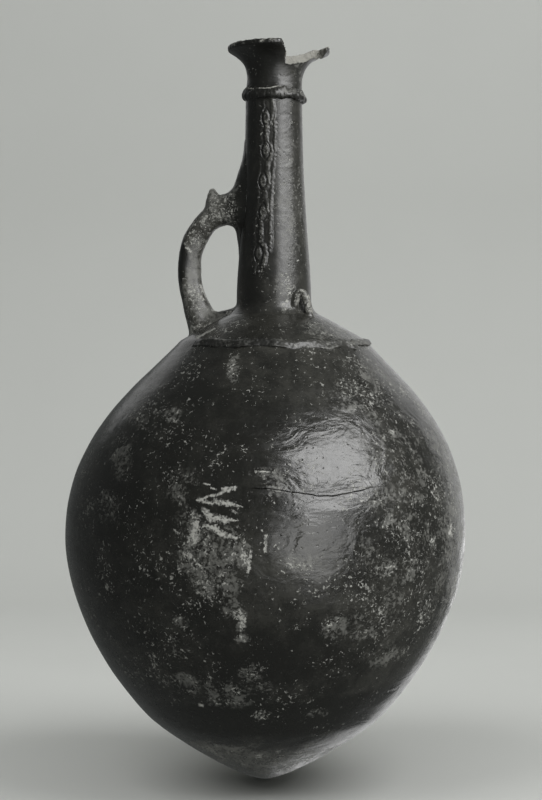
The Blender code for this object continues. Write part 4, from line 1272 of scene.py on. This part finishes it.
# Finishes: roughness added, depth of the wrinkles, scratches, and how far back they may lie
FINISHES = {
    "burnished_slip_body": (0.0, 0.0006, SCRATCHES, 0.0),
    "burnished_slip_neck": (0.08, 0.00034, (), 0.0),
    "burnished_slip_mouth": (0.13, 0.00045, (), 0.0),
    "burnished_slip_handle": (0.08, 0.00026, HANDLE_SCRATCHES, 0.03),
    "rubbed_slip_relief": (0.16, 0.00022, (), 0.0),
}


def slip_material(name):
    """Burnished slip with its wear, specks, crusts and scratches, and the light and shade painted
    into its colour.
    """
    found = bpy.data.materials.get(name)
    if found:
        return found
    rougher, wrinkle, scratches, behind = FINISHES[name]
    slip = sizes("slip")
    tints = (slip.dark, slip.light, slip.worn, slip.lime)
    dark, thin, clay, lime = ((*tint, 1) for tint in tints)
    material = bpy.data.materials.new(name)
    material.use_nodes = True
    tree = material.node_tree
    where = tree.nodes.new("ShaderNodeTexCoord").outputs["Object"]

    def painted(label):
        return Wired(wire(tree, "ShaderNodeAttribute", attribute_name=label).outputs["Fac"])

    def group(label, inputs):
        if label not in bpy.data.node_groups:
            NODE_GROUPS[label](label)
        inputs = {"Coordinates": where, **inputs}
        node = wire(tree, "ShaderNodeGroup", inputs, node_tree=bpy.data.node_groups[label])
        return {socket.name: Wired(socket) for socket in node.outputs}

    masks = {"Smoked": painted("smoked"), "Rubbed": painted("rubbed")}
    tone = group("Slip Tone", {"Dark": dark, "Thin": thin, **masks})["Colour"]
    worn = group("Worn Edge", {"Wear": painted("worn")})["Mask"]
    specks = group("Lime Specks", {"Density": painted("flecked")})["Mask"]
    crust = group("Lime Crust", {"Amount": painted("crust")})
    marks = group("Burnish Marks", {"Pitted": painted("pitted"), "Wrinkle Depth": wrinkle})
    grains = (specks * SPECK_STRENGTH).math("MAXIMUM", crust["Crust"])
    for *places, taper in scratches:
        left, low, right, high, half = (MM * place for place in places)
        ends = {"Start": (left, 0, low + TIP), "End": (right, 0, high + TIP)}
        widths = {"Half Width": half, "Taper": taper, "Behind": behind}
        stroke = group("Scratch Stroke", {**ends, **widths})["Mask"]
        grains = grains.math("MAXIMUM", stroke * SCRATCH_STRENGTH)
    tone = blend(worn, tone, clay)
    tone = blend(crust["Film"] * FILM_COVER, tone, lime)
    tone = blend(grains * GRAIN_COVER, tone, lime)
    whole = painted("crack").scaled(-1.0, 1.0)
    rough = marks["Streaks"].scaled(STREAK_ROUGH, slip.gloss + rougher - 0.06)
    rough = crust["Film"].scaled(FILM_ROUGH, rough)
    rough = grains.scaled(GRAIN_ROUGH, rough)
    height = worn.scaled(WEAR_HEIGHT, grains.scaled(GRAIN_HEIGHT, marks["Height"]))
    bump = wire(tree, "ShaderNodeBump", {"Height": height, "Strength": 1.0, "Distance": 1.0})
    surface = {
        "Base Color": blend(whole, (0.0, 0.0, 0.0, 1), tone).socket,
        "Specular IOR Level": (whole * 0.5).socket,
        "Roughness": worn.math("MULTIPLY_ADD", WORN_ROUGH, rough, clamp=True).socket,
        "Normal": bump.outputs[0],
    }
    for label, socket in surface.items():
        tree.links.new(socket, tree.nodes["Principled BSDF"].inputs[label])
    return material


# Studio


# The camera's place, lens and shift, the height that the windows face, and the sky's light
CAMERA_PLACE = (0.00492, -1.40466, 0.3002)
CAMERA_LENS = 77.085
CAMERA_SHIFT = -0.07125
WINDOWS_FACE = 0.146
SKY_COLOUR, SKY_STRENGTH = (0.95, 1.0, 0.97, 1), 0.12


def build_backdrop():
    """A pale sheet, from under the jug up to a wall behind it. It is seen from its front only."""
    bend = np.radians(np.linspace(0, 90, 19))
    lip, sweep = 0.06, 0.6
    profile = [(-0.56, TIP - 0.5)]
    profile += [(-0.5 - lip * math.cos(a), TIP - lip * (1 - math.sin(a))) for a in bend[::3]]
    profile += [(0.1, TIP), (0.9, TIP)]
    profile += [(0.9 + sweep * math.sin(a), TIP + sweep * (1 - math.cos(a))) for a in bend[1:]]
    profile.append((1.5, 2.6))
    across = np.linspace(-1.6, 1.6, 9)
    points = [(x, y, z) for y, z in profile for x in across]
    step = len(across)
    corners = [row * step + i for row in range(len(profile) - 1) for i in range(step - 1)]
    faces = [(c, c + 1, c + step + 1, c + step) for c in corners]
    mesh = bpy.data.meshes.new("backdrop")
    mesh.from_pydata(points, [], faces)
    mesh.shade_smooth()
    backdrop = bpy.data.objects.new("backdrop", mesh)
    backdrop.visible_glossy = False
    bpy.context.scene.collection.objects.link(backdrop)
    paper = bpy.data.materials.new("studio_paper")
    paper.use_nodes = True
    tree = paper.node_tree
    surface = tree.nodes["Principled BSDF"]
    surface.inputs["Roughness"].default_value = 0.85
    cloud = noise(Wired(tree.nodes.new("ShaderNodeTexCoord").outputs["Object"]), 3.0, 3.0)
    tint = sizes("studio").paper
    shade = blend(cloud, (*[0.94 * c for c in tint], 1), (*tint, 1))
    tree.links.new(shade.socket, surface.inputs["Base Color"])
    behind = tree.nodes.new("ShaderNodeNewGeometry").outputs["Backfacing"]
    clear = tree.nodes.new("ShaderNodeBsdfTransparent").outputs[0]
    seen = wire(tree, "ShaderNodeMixShader", {0: behind, 1: surface.outputs[0], 2: clear})
    tree.links.new(seen.outputs[0], tree.nodes["Material Output"].inputs["Surface"])
    mesh.materials.append(paper)
    return backdrop


# Windows: name, angles right of the camera and up, distance, size, radiance, roll, what they light
WINDOWS = (
    ("key_window", 46, 37, 1.8, (1.45, 1.15), 9.0, 0, "jug"),
    ("wall_under_window", 26, 0.5, 2.0, (1.3, 1.43), 3.24, -24, "jug"),
    ("right_behind", 152, 13, 1.5, (1.25, 1.6), 0.7, 0, "jug"),
    ("floor_behind", 161, -28, 1.5, (0.6, 1.3), 0.9, 0, "jug"),
    ("left_behind", -156, 29, 1.6, (1.0, 0.6), 0.48, 0, "jug"),
    ("backdrop_right", 70, 50, 2.2, (1.6, 1.6), 4.3, 0, "backdrop"),
    ("backdrop_left", -60, 50, 2.2, (1.6, 1.6), 2.9, 0, "backdrop"),
    ("backdrop_front", 0, 62, 2.0, (1.6, 1.2), 1.2, 0, "backdrop"),
)


def build_window(name, azimuth, elevation, distance, size, radiance, roll, lit, collections):
    """A soft light that faces the belly, and whose shadows only the jug casts."""
    turn, lift = math.radians(azimuth), math.radians(elevation)
    flat = math.cos(lift)
    way = Vector((math.sin(turn) * flat, -math.cos(turn) * flat, math.sin(lift)))
    light = bpy.data.lights.new(name, "AREA")
    light.shape = "RECTANGLE"
    light.size, light.size_y = size
    light.energy = radiance * math.pi * size[0] * size[1] * sizes("studio").windows
    obj = bpy.data.objects.new(name, light)
    obj.location = way * distance + Vector((0.0, 0.0, WINDOWS_FACE))
    rolled = way.to_track_quat("Z", "Y") @ Quaternion((0, 0, 1), math.radians(roll))
    obj.rotation_euler = rolled.to_euler()
    obj.visible_camera = False
    obj.light_linking.receiver_collection = collections[lit]
    obj.light_linking.blocker_collection = collections["jug"]
    bpy.context.scene.collection.objects.link(obj)


def build_studio():
    """A pale sheet under and behind the jug, soft windows round it, and the camera."""
    scene = bpy.context.scene
    backdrop = build_backdrop()
    collections = {lit: bpy.data.collections.new("lit_" + lit) for lit in ("jug", "backdrop")}
    for collection in collections.values():
        collection.objects.link(backdrop)
    collections["jug"].collection_objects[0].light_linking.link_state = "EXCLUDE"
    for row in WINDOWS:
        build_window(*row, collections)
    world = scene.world or bpy.data.worlds.new("studio_world")
    scene.world = world
    world.use_nodes = True
    sky = world.node_tree.nodes["Background"]
    sky.inputs["Color"].default_value = SKY_COLOUR
    sky.inputs["Strength"].default_value = SKY_STRENGTH
    camera = bpy.data.cameras.new("photo_camera")
    camera.lens = CAMERA_LENS
    camera.sensor_width = 36
    camera.shift_y = CAMERA_SHIFT
    eye = bpy.data.objects.new("photo_camera", camera)
    eye.location = CAMERA_PLACE
    eye.rotation_euler = (math.radians(90), 0, 0)
    scene.collection.objects.link(eye)
    scene.camera = eye
    scene.view_settings.view_transform = "Standard"


# Operators


class JUG_OT_body(Operator):
    """Build the round body, with its hollows and its hairline crack"""

    bl_idname = "jug.body"
    bl_label = "Body"

    def execute(self, context):
        build_body()
        return {"FINISHED"}


class JUG_OT_neck(Operator):
    """Build the neck with its spreading foot"""

    bl_idname = "jug.neck"
    bl_label = "Neck"

    def execute(self, context):
        build_neck()
        return {"FINISHED"}


class JUG_OT_mouth(Operator):
    """Build the flaring mouth and cut its spout"""

    bl_idname = "jug.mouth"
    bl_label = "Mouth"

    def execute(self, context):
        build_mouth()
        return {"FINISHED"}


class JUG_OT_handle(Operator):
    """Build the handle with its spur, smoothed out over neck and shoulder"""

    bl_idname = "jug.handle"
    bl_label = "Handle and Spur"

    def execute(self, context):
        build_handle(ground_field())
        return {"FINISHED"}


class JUG_OT_bands(Operator):
    """Build the ring of the neck and the pressed band of the shoulder"""

    bl_idname = "jug.bands"
    bl_label = "Ring and Band"

    def execute(self, context):
        ground = ground_field()
        build_ring(ground)
        build_band(ground)
        return {"FINISHED"}


class JUG_OT_lug(Operator):
    """Build the small lug at the foot of the neck"""

    bl_idname = "jug.lug"
    bl_label = "Lug"

    def execute(self, context):
        build_lug(ground_field())
        return {"FINISHED"}


class JUG_OT_relief(Operator):
    """Build the ribs and pellets on the front of the neck"""

    bl_idname = "jug.relief"
    bl_label = "Relief"

    def execute(self, context):
        build_relief(ground_field())
        return {"FINISHED"}


class JUG_OT_studio(Operator):
    """Set up the pale backdrop, the soft windows and the camera"""

    bl_idname = "jug.studio"
    bl_label = "Studio"

    def execute(self, context):
        build_studio()
        return {"FINISHED"}


PIECES = (
    JUG_OT_body,
    JUG_OT_neck,
    JUG_OT_mouth,
    JUG_OT_handle,
    JUG_OT_bands,
    JUG_OT_lug,
    JUG_OT_relief,
    JUG_OT_studio,
)


class JUG_PT_panel(Panel):
    """Lists the pieces of the jug and their sizes"""

    bl_idname = "JUG_PT_panel"
    bl_label = "Burnished Jug"
    bl_space_type = "VIEW_3D"
    bl_region_type = "UI"
    bl_category = "Jug"

    def draw(self, context):
        for piece in PIECES:
            self.layout.operator(piece.bl_idname)
        for name in GROUPS:
            group = getattr(context.scene, name)
            column = self.layout.column(align=True)
            for setting in group.__annotations__:
                column.prop(group, setting)


def register():
    for group in GROUPS.values():
        bpy.utils.register_class(group)
    for name, group in GROUPS.items():
        setattr(bpy.types.Scene, name, PointerProperty(type=group))
    for piece in (*PIECES, JUG_PT_panel):
        bpy.utils.register_class(piece)


def unregister():
    for piece in (JUG_PT_panel, *reversed(PIECES)):
        bpy.utils.unregister_class(piece)
    for name, group in GROUPS.items():
        delattr(bpy.types.Scene, name)
        bpy.utils.unregister_class(group)


def main():
    register()
    bpy.ops.jug.body()
    bpy.ops.jug.neck()
    bpy.ops.jug.mouth()
    bpy.ops.jug.handle()
    bpy.ops.jug.bands()
    bpy.ops.jug.lug()
    bpy.ops.jug.relief()
    bpy.ops.jug.studio()


if __name__ == "__main__":
    main()
